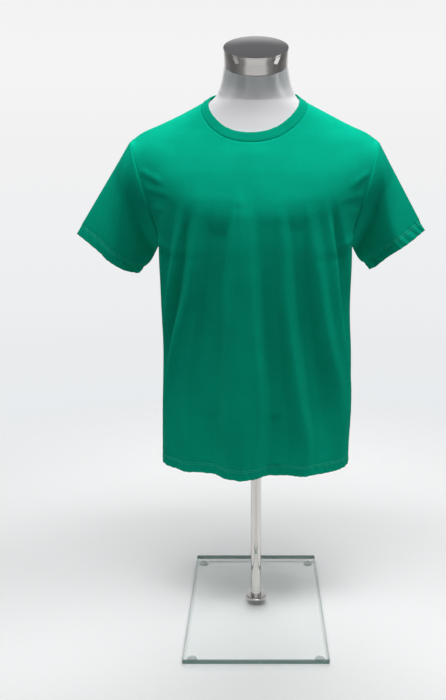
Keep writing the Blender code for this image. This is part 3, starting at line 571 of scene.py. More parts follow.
HEM_Z = 0.323
UNDERARM_Z = 0.785
RIDGE_Y = 0.009
FRONT_ARMHOLE_DEPTH = 0.052
BACK_ARMHOLE_DEPTH = 0.064
SEAM_FADE = 0.030
CREASE_FADE = 0.008
FORM_CLEARANCE = 0.0013

SIDE_SEAMS = (
    ("z", "left_x", "right_x"),
    (0.323, -0.1940, 0.1915),
    (0.437, -0.1905, 0.1925),
    (0.563, -0.1850, 0.1905),
    (0.665, -0.1860, 0.1820),
    (0.744, -0.1840, 0.1800),
    (0.785, -0.1830, 0.1795),
)
CORNERS = {
    "left": {"tip": (-0.2355, 0.9685), "neck": (-0.0985, 1.0370), "rib": (-0.0835, 1.0460)},
    "right": {"tip": (0.2305, 0.9680), "neck": (0.0915, 1.0375), "rib": (0.0770, 1.0490)},
}
SHOULDER_RISE = (
    ("share", "rise"),
    (0.00, 0.0000),
    (0.15, 0.0045),
    (0.40, 0.0020),
    (0.70, -0.0008),
    (1.00, 0.0000),
)
# level counts the hem as 0, the underarm 1, the shoulder's tip 2 and the neck seam 3. edge is 2 where a
# row turns round to its seam, and 1 where it leaves its seam at a slant. sink is how late a row drops
# to its middle's height, and dip is how far it drops as it leaves the corner under the arm.
FRONT_ROWS = (
    ("level", "middle_x", "middle_y", "middle_z", "fullness", "edge", "sink", "dip"),
    (0.00, 0.000, -0.0820, 0.3230, 2.30, 2.10, 1.0, 0.000),
    (0.35, 0.000, -0.0890, 0.4850, 2.35, 2.20, 1.0, 0.000),
    (0.70, 0.000, -0.0965, 0.6350, 2.45, 2.40, 1.0, 0.012),
    (1.00, 0.000, -0.1060, 0.7530, 2.60, 2.40, 1.0, 0.030),
    (1.25, 0.000, -0.1105, 0.8100, 2.45, 1.60, 1.0, 0.016),
    (1.50, 0.000, -0.1105, 0.8500, 2.30, 1.20, 1.4, 0.000),
    (1.75, 0.000, -0.1045, 0.8780, 2.15, 1.10, 2.0, 0.000),
    (2.00, -0.001, -0.0970, 0.9000, 2.05, 1.10, 2.2, 0.000),
    (2.35, -0.003, -0.0880, 0.9230, 2.00, 1.55, 1.8, 0.000),
    (2.70, -0.006, -0.0785, 0.9470, 2.00, 1.90, 1.3, 0.000),
    (3.00, -0.008, -0.0710, 0.9650, 2.20, 2.20, 1.0, 0.000),
)
BACK_ROWS = (
    ("level", "middle_x", "middle_y", "middle_z", "fullness", "edge", "sink", "dip"),
    (0.00, 0.000, 0.1160, 0.3230, 2.20, 2.00, 1.0, 0.000),
    (0.35, 0.000, 0.1210, 0.4850, 2.25, 2.05, 1.0, 0.000),
    (0.70, 0.000, 0.1250, 0.6350, 2.30, 2.15, 1.0, 0.012),
    (1.00, 0.000, 0.1275, 0.7530, 2.40, 2.10, 1.0, 0.030),
    (1.25, 0.000, 0.1282, 0.8180, 2.35, 1.60, 1.0, 0.016),
    (1.50, 0.000, 0.1270, 0.8740, 2.30, 1.25, 1.2, 0.000),
    (1.75, 0.000, 0.1220, 0.9230, 2.25, 1.15, 1.6, 0.000),
    (2.00, 0.000, 0.1120, 0.9620, 2.20, 1.15, 1.8, 0.000),
    (2.35, 0.000, 0.0980, 0.9930, 2.10, 1.55, 1.5, 0.000),
    (2.70, 0.000, 0.0830, 1.0230, 2.00, 1.90, 1.2, 0.000),
    (3.00, 0.000, 0.0720, 1.0450, 2.00, 2.00, 1.0, 0.000),
)
# The drape's folds, as lines that run down a panel along its crests and in its valleys. At each height
# in the first row a line has a place across the cloth from the panel's middle and a rise over the plain
# drape, both in mm.
FRONT_DRAPE = (
    (0.860, 0.775, 0.680, 0.585, 0.485, 0.380, 0.323),
    ((-168, 0), (-196, 3), (-220, 1), (-228, 0), (-232, 0), (-235, 0), (-236, 0)),
    ((-148, 0), (-170, -1.5), (-196, -2.5), (-222, -1.5), (-229, -1), (-232, -1), (-233, -1)),
    ((-130, 0.5), (-150, 3.5), (-176, 3), (-212, 0), (-226, -2), (-229, -2.5), (-230, -2.5)),
    ((-120, 0), (-139, -5), (-159, -9), (-193, -8), (-219, -3), (-226, -3), (-227, -3)),
    ((-96, 0.5), (-112, 3), (-131, 4.5), (-163, 4.5), (-200, 2.5), (-211, -1), (-213, -3)),
    ((-88, 0.3), (-102, 1.5), (-120, 1.5), (-146, 0.5), (-168, -3), (-173, -6), (-174, -7.5)),
    ((-82, 0), (-95, 0), (-111, -1), (-133, -2), (-147, -3), (-150, -4), (-150, -4.5)),
    ((-75, 0), (-85, -3.5), (-98, -7.5), (-112, -10.5), (-124, -12), (-122, -12), (-118, -11.5)),
    ((-52, 0), (-58, -3.5), (-67, -7.5), (-74, -10.5), (-80, -12), (-88, -12.5), (-90, -12)),
    ((-34, 0.5), (-38, 3.5), (-45, 5.5), (-50, 6.5), (-51, 7), (-52, 7), (-51, 6.5)),
    ((-25, 1.5), (-26, 4.5), (-25, 6.5), (-27, 8), (-28, 9.5), (-28, 11), (-28, 11)),
    ((-16, 0.5), (-14, 4), (-6, 6.5), (-1, 8), (5, 7.5), (-4, 6), (-10, 6.5)),
    ((5, 0), (12, -0.5), (16, -2.5), (21, -6.5), (31, -10.5), (34, -11.5), (28, -11)),
    ((32, 0), (36, -0.5), (40, -2.5), (45, -6), (52, -9.5), (62, -10.5), (58, -9.5)),
    ((48, 0.5), (51, 3), (56, 4.5), (66, 4.5), (83, 4.5), (101, 3), (98, 1.5)),
    ((62, 0), (70, -2), (80, -5.5), (92, -8.5), (107, -9.5), (120, -5), (120, -1)),
    ((80, 0), (89, -2), (101, -6), (111, -9.5), (127, -10), (138, -4.5), (140, -1)),
    ((97, 0.5), (108, 4), (123, 6), (141, 6.5), (171, 6), (186, 3), (190, 0)),
    ((113, 0.3), (127, 1.5), (141, 3), (158, 4), (186, 4.5), (200, 2), (204, 0)),
    ((130, 0.8), (147, 4.5), (159, 6), (176, 5.5), (202, 3.5), (213, 1), (216, -0.5)),
    ((142, 0), (160, -4), (175, -6), (195, -6), (216, -3), (225, -1.5), (228, -1.5)),
    ((152, 0.5), (184, 3.5), (214, 2), (227, 0), (232, -1), (235, -1), (236, -1)),
)
BACK_DRAPE = (
    (0.870, 0.775, 0.680, 0.585, 0.485, 0.380, 0.323),
    ((-150, 0.5), (-176, 3.5), (-205, 3), (-222, 1), (-230, 0), (-234, 0), (-236, 0)),
    ((-132, 0), (-150, -3), (-172, -5), (-198, -4), (-214, -1), (-220, 0), (-222, 0)),
    ((-112, 1), (-126, 5), (-146, 8), (-168, 9), (-184, 8), (-194, 7), (-197, 6.5)),
    ((-94, 0), (-104, -2.5), (-116, -6), (-130, -8.5), (-144, -9.5), (-152, -9.5), (-155, -9)),
    ((-76, 0), (-84, -2), (-93, -5.5), (-104, -8), (-112, -9), (-118, -9.5), (-121, -9)),
    ((-58, 1.5), (-62, 5.5), (-66, 8.5), (-70, 10), (-74, 10.5), (-78, 10.5), (-80, 10)),
    ((-44, 0.5), (-46, 4), (-46, 7), (-45, 8.5), (-44, 9), (-44, 8), (-44, 7.5)),
    ((-26, 0), (-26, -3), (-25, -6.5), (-22, -9.5), (-18, -11), (-14, -11.5), (-12, -11.5)),
    ((-4, 0), (-3, -3.5), (0, -7.5), (4, -10.5), (8, -12), (14, -12), (17, -12)),
    ((16, 1), (20, 4.5), (26, 7), (33, 8.5), (42, 9.5), (50, 10), (54, 9.5)),
    ((34, 1.5), (40, 5.5), (48, 8), (57, 9), (66, 8.5), (75, 8), (79, 8)),
    ((54, 0), (62, -2), (74, -5.5), (86, -8.5), (98, -10), (108, -10.5), (112, -10)),
    ((72, 0), (80, -2.5), (94, -5), (106, -7.5), (118, -8.5), (130, -8), (134, -8)),
    ((92, 1), (104, 4.5), (120, 7.5), (136, 8.5), (152, 8.5), (166, 8), (171, 7.5)),
    ((112, 0), (128, -3), (146, -4.5), (166, -3.5), (186, 0), (200, 2), (206, 2.5)),
    ((134, 0.5), (158, 4), (184, 4), (206, 2), (220, 0.5), (228, 0), (231, 0)),
)


def mix(start, end, share):
    return start + (end - start) * share


def ease(share):
    """0 to 1 with soft ends, for a number or an array."""
    share = np.clip(share, 0.0, 1.0)
    return share * share * (3 - 2 * share)


def side_point(side, level):
    """A point of the side seam (level 0 to 1) or the shoulder seam (level 2 to 3)."""
    if level <= 1:
        z = mix(HEM_Z, UNDERARM_Z, level)
        return np.array((along(SIDE_SEAMS, z, side + "_x"), SIDE_SEAM_Y, z))
    share = level - 2
    tip_x, tip_z = CORNERS[side]["tip"]
    neck_x, neck_z = CORNERS[side]["neck"]
    z = mix(tip_z, neck_z, share) + along(SHOULDER_RISE, share, "rise")
    return np.array((mix(tip_x, neck_x, share), RIDGE_Y, z))


def armhole_point(side, face, share):
    """A point of the armhole from the underarm (0) to the shoulder's tip (1), in front or behind."""
    turn = math.pi * share
    depth = FRONT_ARMHOLE_DEPTH if face < 0 else BACK_ARMHOLE_DEPTH
    point = mix(side_point(side, 1), side_point(side, 2), (1 - math.cos(turn)) / 2)
    point[1] += face * depth * math.sin(turn)
    return point


def row_end(side, face, level):
    if 1 < level < 2:
        return armhole_point(side, face, level - 1)
    return side_point(side, level)


def row_distances(grid):
    """How far each point of a grid lies along its row."""
    steps = np.linalg.norm(np.diff(grid, axis=1), axis=2)
    return np.concatenate((np.zeros((len(grid), 1)), np.cumsum(steps, axis=1)), axis=1)


def climb_distances(grid):
    """How far each point lies above its column's foot, along the column."""
    return row_distances(grid.transpose(1, 0, 2)).T


def edge_distances(grid):
    """How far each point lies from its row's ends, along the row."""
    way = row_distances(grid)
    return np.minimum(way, way[:, -1:] - way)


def measured(grid):
    """Each point's way along its row and up its column, in metres of cloth."""
    way = row_distances(grid)
    return np.stack((way - way[:, -1:] / 2, climb_distances(grid), np.zeros_like(way)), axis=2)


def read_at(wanted, at, line):
    """The points, or directions, of a line at wanted distances, from those at the known ones."""
    return np.stack([np.interp(wanted, at, line[:, axis]) for axis in range(3)], axis=-1)


def spaced(line, shares):
    """Points at these shares of a line's length."""
    way = row_distances(line[None])[0]
    return read_at(shares * way[-1], way, line)


# ROW_CROWD moves a row's samples from its seams towards its middle.
DIP_EXPONENT = 6
ROW_SAMPLES = 900
ROW_CROWD = 0.30


def row_turn(share):
    """The half turn from the left seam (0) to the right one, at shares of a row."""
    return math.pi * (share + ROW_CROWD * np.sin(2 * math.pi * share) / (2 * math.pi))


def row_line(rows, face, level):
    """A row of a panel without folds, finely sampled from the left seam to the right one."""
    share = np.linspace(0.0, 1.0, ROW_SAMPLES)
    left = row_end("left", face, level)
    right = row_end("right", face, level)
    middle = np.array([along(rows, level, "middle_" + axis) for axis in "xyz"])
    dip = along(rows, level, "dip")
    across = -np.cos(row_turn(share))
    bow = np.maximum(1 - np.abs(across) ** along(rows, level, "fullness"), 0.0)
    bow = bow ** (1 / along(rows, level, "edge"))
    sunk = bow ** along(rows, level, "sink")
    line = left + (right - left) * ((across + 1) / 2)[:, None]
    to_middle = middle - (left + right) / 2
    line[:, 0] += to_middle[0] * bow
    line[:, 1] += to_middle[1] * bow
    line[:, 2] += (to_middle[2] + dip) * sunk - dip * (1 - np.abs(2 * share - 1) ** DIP_EXPONENT)
    return line


def grid_normals(grid, closed=False):
    """Outward directions on a grid whose rows climb, and run anticlockwise as seen from above."""
    if closed:
        ahead = np.roll(grid, -1, axis=1) - np.roll(grid, 1, axis=1)
    else:
        ahead = np.gradient(grid, axis=1)
    climb = np.gradient(grid, axis=0)
    normals = np.cross(ahead, climb)
    return normals / np.maximum(np.linalg.norm(normals, axis=2, keepdims=True), 1e-12)


def curve(values, at, wanted):
    """Values at falling places, read at the wanted ones on a smooth curve, and held beyond both ends."""
    at, values = np.array(at)[::-1], np.array(values, dtype=float)[::-1]
    slopes = np.gradient(values, at)
    wanted = np.clip(wanted, at[0], at[-1])
    low = np.clip(np.searchsorted(at, wanted) - 1, 0, len(at) - 2)
    span = at[low + 1] - at[low]
    share = (wanted - at[low]) / span
    start, end = values[low], values[low + 1]
    return smooth_way(start, end, slopes[low] * span, slopes[low + 1] * span, share)


# The thin cloth folds deeper than its solid does. The gains say how much, with the crests calmer near
# the hem.
DRAPE_START = 0.060
PANEL_REACH = 0.300
LEAST_STEP = 0.0005
CREST_GAIN = 2.05
HEM_GAIN = 1.30
HEM_GAIN_REACH = 0.130
VALLEY_GAIN = 1.25


def drape_rise(drape, across, z):
    """How far the folds push a row's cloth out: soft steps from each line of the drape to the next."""
    levels, lines = drape[0], drape[1:]
    height = float(z.mean())
    places, rises = [-PANEL_REACH], [0.0]
    for line in lines:
        places.append(float(curve([pair[0] for pair in line], levels, z.mean())) / 1000)
        rises.append(float(curve([pair[1] for pair in line], levels, z.mean())) / 1000)
    places.append(PANEL_REACH)
    rises.append(0.0)
    for index in range(1, len(places)):
        places[index] = max(places[index], places[index - 1] + LEAST_STEP)
    low = np.clip(np.searchsorted(places, across) - 1, 0, len(places) - 2)
    places, rises = np.array(places), np.array(rises)
    crest_gain = mix(HEM_GAIN, CREST_GAIN, float(ease((height - HEM_Z) / HEM_GAIN_REACH)))
    rises = rises * np.where(rises > 0, crest_gain, VALLEY_GAIN)
    share = ease((across - places[low]) / (places[low + 1] - places[low]))
    fade = 1 - float(ease((height - levels[0]) / DRAPE_START))
    return fade * mix(rises[low], rises[low + 1], share)


# Small drag lines at the armholes and rumples at the hem. Each row is a short line's ends (x, z, x, z),
# its rise and half its width.
FRONT_CREASES = (
    (-0.212, 0.914, -0.168, 0.893, 0.0022, 0.0055),
    (-0.206, 0.884, -0.158, 0.872, 0.0018, 0.0050),
    (-0.196, 0.846, -0.166, 0.846, 0.0012, 0.0045),
    (0.210, 0.912, 0.172, 0.888, 0.0022, 0.0055),
    (0.200, 0.872, 0.160, 0.864, 0.0016, 0.0050),
    (0.192, 0.836, 0.168, 0.842, 0.0012, 0.0045),
    (0.186, 0.800, 0.150, 0.772, 0.0016, 0.0060),
    (-0.190, 0.798, -0.156, 0.764, 0.0016, 0.0060),
    (0.020, 0.352, 0.062, 0.346, 0.0014, 0.0045),
    (0.028, 0.372, 0.052, 0.376, 0.0010, 0.0040),
    (-0.118, 0.350, -0.086, 0.356, 0.0010, 0.0045),
)
BACK_CREASES = (
    (-0.210, 0.930, -0.160, 0.905, 0.0022, 0.0060),
    (-0.200, 0.880, -0.156, 0.868, 0.0016, 0.0055),
    (0.208, 0.926, 0.158, 0.908, 0.0022, 0.0060),
    (0.198, 0.868, 0.152, 0.852, 0.0016, 0.0055),
    (-0.188, 0.800, -0.146, 0.768, 0.0016, 0.0060),
    (0.186, 0.798, 0.144, 0.762, 0.0016, 0.0060),
    (-0.040, 0.356, 0.010, 0.350, 0.0012, 0.0045),
)


CREASE_LEAD = 0.1
CREASE_SWELL = 0.3
CREASE_END = 1.2
CREASE_TAPER = 0.6


def crease_rise(creases, grid):
    """Soft ridges along short straight lines, which swell, taper and end past their ends."""
    total = np.zeros(grid.shape[:2])
    for start_x, start_z, end_x, end_z, rise, width in creases:
        run = np.array((end_x - start_x, end_z - start_z))
        length = np.hypot(*run)
        offset = grid[:, :, (0, 2)] - np.array((start_x, start_z))
        down = offset @ run / length ** 2
        beside = (offset[..., 0] * run[1] - offset[..., 1] * run[0]) / length
        shape = ease((down + CREASE_LEAD) / CREASE_SWELL) * ease((CREASE_END - down) / CREASE_TAPER)
        total += rise * np.exp(-(beside / width) ** 2) * shape
    return total


form_tree = BVHTree.FromPolygons(
    [v.co - Vector((POLE_X, POLE_Y, 0.0)) for v in form.data.vertices],
    [list(face.vertices) for face in form.data.polygons],
)


def clear_of_form(grid):
    """Move points that lie deeper than the cloth can, out to where they rest on the form."""
    flat = grid.reshape(-1, 3)
    for index, point in enumerate(flat):
        place = Vector(point)
        nearest, normal, _, _ = form_tree.find_nearest(place)
        stand_off = (place - nearest).dot(normal)
        if stand_off < FORM_CLEARANCE:
            flat[index] = place + normal * (FORM_CLEARANCE - stand_off)
    return flat.reshape(grid.shape)


SETTLE_ROUNDS = 160
GIVE_START = 1.05
GIVE_FULL = 1.35
CLEAR_EVERY = 8


def settle(grid, levels, rounds):
    """Let the upper part of a panel, between its seams, draw taut over the form."""
    give = ease((levels - GIVE_START) / (GIVE_FULL - GIVE_START))[:, None, None]
    for turn in range(rounds):
        normals = grid_normals(grid)
        pull = np.zeros_like(grid)
        beside = (grid[:-2, 1:-1] + grid[2:, 1:-1] + grid[1:-1, :-2] + grid[1:-1, 2:]) / 4
        pull[1:-1, 1:-1] = beside - grid[1:-1, 1:-1]
        grid = grid + normals * (pull * normals).sum(axis=2, keepdims=True) * give
        if turn % CLEAR_EVERY == CLEAR_EVERY - 1:
            grid = clear_of_form(grid)
    return grid


# Rows lie closer together at the hem, and columns at the seams, where the cloth turns in small sizes.
SEAM_STEPS = np.array((0.0, 0.0008, 0.0016, 0.0026, 0.0040))
HEM_STEPS = np.array((0.0, 0.0015, 0.004, 0.008, 0.012, 0.016, 0.0185, 0.0200, 0.0215, 0.0240))
NECK_STEPS = np.array((0.0008, 0.0018, 0.0032, 0.0050))
HALF_ROUND = 0.52
ARMHOLE_HEIGHT = 0.20
SHOULDER_HEIGHT = 0.11
NECK_HEIGHT = 0.10
BODY_STEP = 0.0036
BACK_STEP = 0.0046


def panel_columns(step):
    """Shares of a row for the columns, close together at both seams."""
    near = SEAM_STEPS / HALF_ROUND
    count = round((1 - 2 * near[-1]) * HALF_ROUND / step)
    return np.concatenate((near[:-1], np.linspace(near[-1], 1 - near[-1], count), 1 - near[-2::-1]))


def panel_levels(step):
    """Levels of the rows, close together at the hem and at the neck seam."""
    side = UNDERARM_Z - HEM_Z
    hem = HEM_STEPS / side
    below = np.linspace(hem[-1], 1.0, round((1 - hem[-1]) * side / step))
    beside = np.linspace(1.0, 2.0, round(ARMHOLE_HEIGHT / step))
    neck = 3.0 - NECK_STEPS / NECK_HEIGHT
    above = np.linspace(2.0, neck[-1], round(SHOULDER_HEIGHT / step))
    return np.concatenate((hem[:-1], below, beside[1:], above[1:], neck[-2::-1], [3.0]))


def panel_grid(rows, drape, creases, face, step):
    """The sheet of a panel, row by row, in the order that turns its faces out."""
    shares = panel_columns(step)
    grid = []
    for level in panel_levels(step):
        line = spaced(row_line(rows, face, level), shares)
        grid.append(line if face < 0 else line[::-1])
    grid = settle(np.array(grid), panel_levels(step), SETTLE_ROUNDS)
    normals = grid_normals(grid)
    way = row_distances(grid)
    across = way - way[:, -1:] / 2
    from_seam = way[:, -1:] / 2 - np.abs(across)
    along_row = across if face < 0 else -across
    folds = np.array([drape_rise(drape, a, z) for a, z in zip(along_row, grid[:, :, 2])])
    out = ease(from_seam / SEAM_FADE) * folds
    out += crease_rise(creases, grid) * ease(from_seam / CREASE_FADE)
    return clear_of_form(grid + normals * out[:, :, None])


WALE_GRAIN = 1 / 0.0016
COURSE_GRAIN = 1 / 0.0070


def knit(name, code, shade_code, grain):
    """Matt cotton knit with a soft bloom, a little uneven in its dye and grained along its wales."""
    material, tree, shader = new_material(
        name,
        {
            "Roughness": 0.95,
            "Specular IOR Level": 0.03,
            "Sheen Weight": 0.06,
            "Sheen Roughness": 0.6,
            "Sheen Tint": linear("3CC8A8"),
        },
    )
    cloth = add_node(tree, "ShaderNodeAttribute", {"attribute_name": "lengths"})
    grained = add_node(tree, "ShaderNodeMapping", {"Scale": grain}, {"Vector": cloth.outputs["Vector"]})
    yarn = add_node(
        tree,
        "ShaderNodeTexNoise",
        {"Scale": 1.0, "Detail": 2.0, "Roughness": 0.6},
        {"Vector": grained.outputs["Vector"]},
    )
    dye = add_node(
        tree, "ShaderNodeTexNoise", {"Scale": 14.0, "Detail": 4.0}, {"Vector": cloth.outputs["Vector"]}
    )
    both = add_node(
        tree,
        "ShaderNodeMix",
        {"data_type": "FLOAT", 0: 0.45},
        {2: dye.outputs["Fac"], 3: yarn.outputs["Fac"]},
    )
    spread = add_node(
        tree, "ShaderNodeMapRange", {"From Min": 0.30, "From Max": 0.70}, {"Value": both.outputs[0]}
    )
    colour = add_node(
        tree,
        "ShaderNodeMix",
        {"data_type": "RGBA", 6: linear(shade_code), 7: linear(code)},
        {0: spread.outputs["Result"]},
    )
    tree.links.new(colour.outputs[2], shader.inputs["Base Color"])
    raised = add_node(
        tree, "ShaderNodeBump", {"Strength": 0.35, "Distance": 0.0004}, {"Height": yarn.outputs["Fac"]}
    )
    tree.links.new(raised.outputs["Normal"], shader.inputs["Normal"])
    return material


# Jersey: its wales are 0.7 mm apart, which is too fine to show, so the grain is drawn at 1.6 mm and
# faint.
cotton_jersey = knit("cotton_jersey", "03B592", "02A585", (WALE_GRAIN, COURSE_GRAIN, 1.0))

LAYER = 0.0007
FOLD_MIDDLE = 0.00065
OUTER_FACE = 0.0014


def build_shell(name, outer, inner, material, closed):
    """A closed thin shell between two grids of points. It keeps the cloth's lengths for the knit."""
    rows, columns = outer.shape[:2]
    points = np.concatenate((outer.reshape(-1, 3), inner.reshape(-1, 3)))
    points = points + np.array((POLE_X, POLE_Y, 0.0))
    half = rows * columns
    faces = []
    across = columns if closed else columns - 1
    for row in range(rows - 1):
        for column in range(across):
            a = row * columns + column
            b = row * columns + (column + 1) % columns
            c, d = b + columns, a + columns
            faces.append((a, b, c, d))
            faces.append((half + d, half + c, half + b, half + a))
    for column in range(across):
        a, b = column, (column + 1) % columns
        top = (rows - 1) * columns
        faces.append((half + a, half + b, b, a))
        faces.append((top + a, top + b, half + top + b, half + top + a))
    if not closed:
        for row in range(rows - 1):
            a, b = row * columns, (row + 1) * columns
            c, d = a + columns - 1, b + columns - 1
            faces.append((a, b, half + b, half + a))
            faces.append((half + c, half + d, d, c))
    shell = new_mesh_object(name, points, faces, material, 60)
    lengths = shell.data.attributes.new("lengths", "FLOAT_VECTOR", "POINT")
    lengths.data.foreach_set("vector", np.concatenate((measured(outer), measured(inner))).ravel())
    return shell


SEAM_FOOT = 0.0002
NECK_SEAM_FOOT = 0.0009
SEAM_PULL_REACH = 0.0016


def seam_lift(distances, foot):
    """How high the cloth's outer face stands over the sheet, near a seam that pulls it in."""
    return foot + (OUTER_FACE - foot) * (1 - np.exp(-(distances / SEAM_PULL_REACH) ** 2))


STITCH_HEIGHTS = (0.0170, 0.0210)
STITCH_SINK = 0.00060
STITCH_SINK_REACH = 0.0014
PUCKER = 0.0008
PUCKER_LENGTH = 0.0135
PUCKER_DRIFT = 0.085
PUCKER_SWING = 2.4
PUCKER_SLANT = 0.006
PUCKER_REACH = 0.024


def hem_relief(grid):
    """How a hem's two rows of stitches sink in, and how the cloth puckers a little below them."""
    up = climb_distances(grid)
    along_hem = measured(grid)[:, :, 0]
    drift = PUCKER_SWING * np.sin(2 * math.pi * along_hem / PUCKER_DRIFT)
    turn = 2 * math.pi * along_hem / PUCKER_LENGTH + drift + up / PUCKER_SLANT
    relief = PUCKER * np.sin(turn) * np.exp(-(up / PUCKER_REACH) ** 4)
    for height in STITCH_HEIGHTS:
        relief = relief - STITCH_SINK * np.exp(-((up - height) / STITCH_SINK_REACH) ** 2)
    return relief


HEM_DEPTH = 0.020
HEM_END = 0.001
HEM_STRIPS = 6
HEM_TURNS = 5
TURNED_OUTER = 0.00075
TURNED_INNER = 0.00005


def hem_rows(grid, normals):
    """The turned-up part of a hem: outer and inner points from its raw edge to the fold."""
    climbed = climb_distances(grid)
    up = grid[1] - grid[0]
    up = up / np.linalg.norm(up, axis=1, keepdims=True)
    outer, inner = [], []
    for height in np.linspace(HEM_DEPTH, HEM_END, HEM_STRIPS):
        row = int(np.argmin(np.abs(climbed[:, climbed.shape[1] // 2] - height)))
        outer.append(grid[row] + normals[row] * (FOLD_MIDDLE - TURNED_OUTER))
        inner.append(grid[row] + normals[row] * (FOLD_MIDDLE - TURNED_INNER))
    for step in range(HEM_TURNS):
        turn = math.pi * (1 - step / HEM_TURNS)
        way = normals[0] * math.cos(turn) - up * math.sin(turn)
        centre = grid[0] + normals[0] * FOLD_MIDDLE
        outer.append(centre + way * TURNED_OUTER)
        inner.append(centre + way * TURNED_INNER)
    return np.array(outer), np.array(inner)


# Sewing thread: spun polyester, dyed near the cloth. It is drawn thicker and lighter than real, so that
# it shows.
green_thread = knit("sewing_thread", "52D6B8", "34C2A2", (1 / 0.0006, 1 / 0.0006, 1.0))

STITCH_PITCH = 0.0034
STITCH_LENGTH = 0.0027
THREAD_RADIUS = 0.00045
THREAD_SIDES = 6
THREAD_SHAPE = ((0.0, 0.25, -0.6), (0.22, 1.0, 0.35), (0.78, 1.0, 0.35), (1.0, 0.25, -0.6))


def sew_hem(name, surface, normals):
    """Two rows of short threads that lie on a hem, each a spindle whose ends go into the cloth."""
    up = climb_distances(surface)
    columns = surface.shape[1]
    shares = np.array([share for share, _, _ in THREAD_SHAPE])
    points, faces = [], []
    for height in STITCH_HEIGHTS:
        line = np.array([read_at(height, up[:, column], surface[:, column]) for column in range(columns)])
        beside = int(np.argmin(np.abs(up[:, columns // 2] - height)))
        way = row_distances(line[None])[0]
        for start in np.arange(STITCH_PITCH, way[-1] - STITCH_PITCH, STITCH_PITCH):
            middle = read_at(start + shares * STITCH_LENGTH, way, line)
            out = read_at(start, way, normals[beside])
            ahead = middle[-1] - middle[0]
            side = np.cross(out, ahead / np.linalg.norm(ahead))
            first = len(points)
            for centre, (_, size, rise) in zip(middle, THREAD_SHAPE):
                for corner in range(THREAD_SIDES):
                    turn = 2 * math.pi * corner / THREAD_SIDES
                    spoke = side * math.cos(turn) + out * math.sin(turn)
                    points.append(centre + THREAD_RADIUS * (out * rise + spoke * size))
            for ring in range(len(THREAD_SHAPE) - 1):
                for corner in range(THREAD_SIDES):
                    a = first + ring * THREAD_SIDES + corner
                    b = first + ring * THREAD_SIDES + (corner + 1) % THREAD_SIDES
                    faces.append((a, b, b + THREAD_SIDES, a + THREAD_SIDES))
            last = first + (len(THREAD_SHAPE) - 1) * THREAD_SIDES
            faces.append(tuple(range(first + THREAD_SIDES - 1, first - 1, -1)))
            faces.append(tuple(range(last, last + THREAD_SIDES)))
    points = np.array(points) + np.array((POLE_X, POLE_Y, 0.0))
    thread = new_mesh_object(name, points, faces, green_thread)
    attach(thread, "root")


def hemmed_shell(name, stitches, sheet, normals, lift, closed):
    """A shell over a sheet whose lower edge is a hem, turned up and sewn with two rows."""
    sheet = sheet + normals * hem_relief(sheet)[:, :, None]
    face = sheet + normals * lift
    sew_hem(stitches, face, normals)
    hem_outer, hem_inner = hem_rows(sheet, normals)
    outer = np.concatenate((hem_outer, face))
    inner = np.concatenate((hem_inner, sheet + normals * (lift - LAYER)))
    return build_shell(name, outer, inner, cotton_jersey, closed)


def panel_shell(name, sheet):
    """A body panel as a hemmed shell, drawn in at its side, armhole and top seams."""
    up = climb_distances(sheet)
    at_sides = seam_lift(edge_distances(sheet), SEAM_FOOT)
    at_top = seam_lift(up[-1:] - up, NECK_SEAM_FOOT)
    lift = np.minimum(at_sides, at_top)[:, :, None]
    return hemmed_shell(name, name + "_hem_stitches", sheet, grid_normals(sheet), lift, closed=False)


front_sheet = panel_grid(FRONT_ROWS, FRONT_DRAPE, FRONT_CREASES, -1, BODY_STEP)
back_sheet = panel_grid(BACK_ROWS, BACK_DRAPE, BACK_CREASES, 1, BACK_STEP)
front = panel_shell("shirt_front", front_sheet)
back = panel_shell("shirt_back", back_sheet)
for piece, node, size, area in (
    (front, "front_panel", (0.56, 0.74), 0.36),
    (back, "back_panel", (0.56, 0.76), 0.38),
):
    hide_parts(node)
    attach(piece, "root")

# Sleeves -----------------------------------------------------
# Short set-in sleeves, each one piece of jersey sewn into a tube, with a hem at the cuff.

# lower and outer are the cuff's corners, front and back its depths. A ridge runs down each face: its
# table gives its place between the lower (0) and the outer side (1) on the way from the armhole (0) to
# the cuff (1). edge_rise gives in mm how far the cuff's front edge stands over the straight line
# between its corners.
SLEEVES = {
    "left": {
        "lower": (-0.2345, 0.0340, 0.7146),
        "outer": (-0.3483, 0.0120, 0.7944),
        "front": 0.036,
        "back": 0.056,
        "front_ridge": (
            ("down", "place"),
            (0.0, 0.97), (0.2, 0.87), (0.4, 0.72), (0.6, 0.60), (0.8, 0.51), (1.0, 0.43),
        ),
        "back_ridge": (("down", "place"), (0.0, 0.96), (0.3, 0.80), (0.6, 0.64), (1.0, 0.52)),
        "edge_rise": (
            ("place", "rise"),
            (0.00, 0.0), (0.06, -3.0), (0.12, -5.5), (0.20, -8.5), (0.28, -9.0), (0.36, -8.5),
            (0.44, -7.0), (0.50, -6.5), (0.56, -3.5), (0.65, -2.0), (0.80, -0.8), (1.00, 0.0),
        ),
    },
    "right": {
        "lower": (0.2282, 0.0340, 0.7230),
        "outer": (0.3275, 0.0120, 0.8007),
        "front": 0.036,
        "back": 0.054,
        "front_ridge": (
            ("down", "place"),
            (0.0, 0.97), (0.2, 0.85), (0.4, 0.69), (0.6, 0.58), (0.8, 0.53), (1.0, 0.49),
        ),
        "back_ridge": (("down", "place"), (0.0, 0.96), (0.3, 0.78), (0.6, 0.60), (1.0, 0.45)),
        "edge_rise": (
            ("place", "rise"),
            (0.00, 0.0), (0.08, -1.5), (0.20, 1.5), (0.30, 4.0),
            (0.45, 5.0), (0.55, 4.0), (0.75, 1.0), (1.00, 0.0),
        ),
    },
}
SLEEVE_SAG = 0.008
SAG_EXPONENT = 3
FRONT_RIDGE_SHARPNESS = 7.0
BACK_RIDGE_SHARPNESS = 3.0
RIDGE_GROWTH = 0.36
NEAR_ZERO = 0.0001


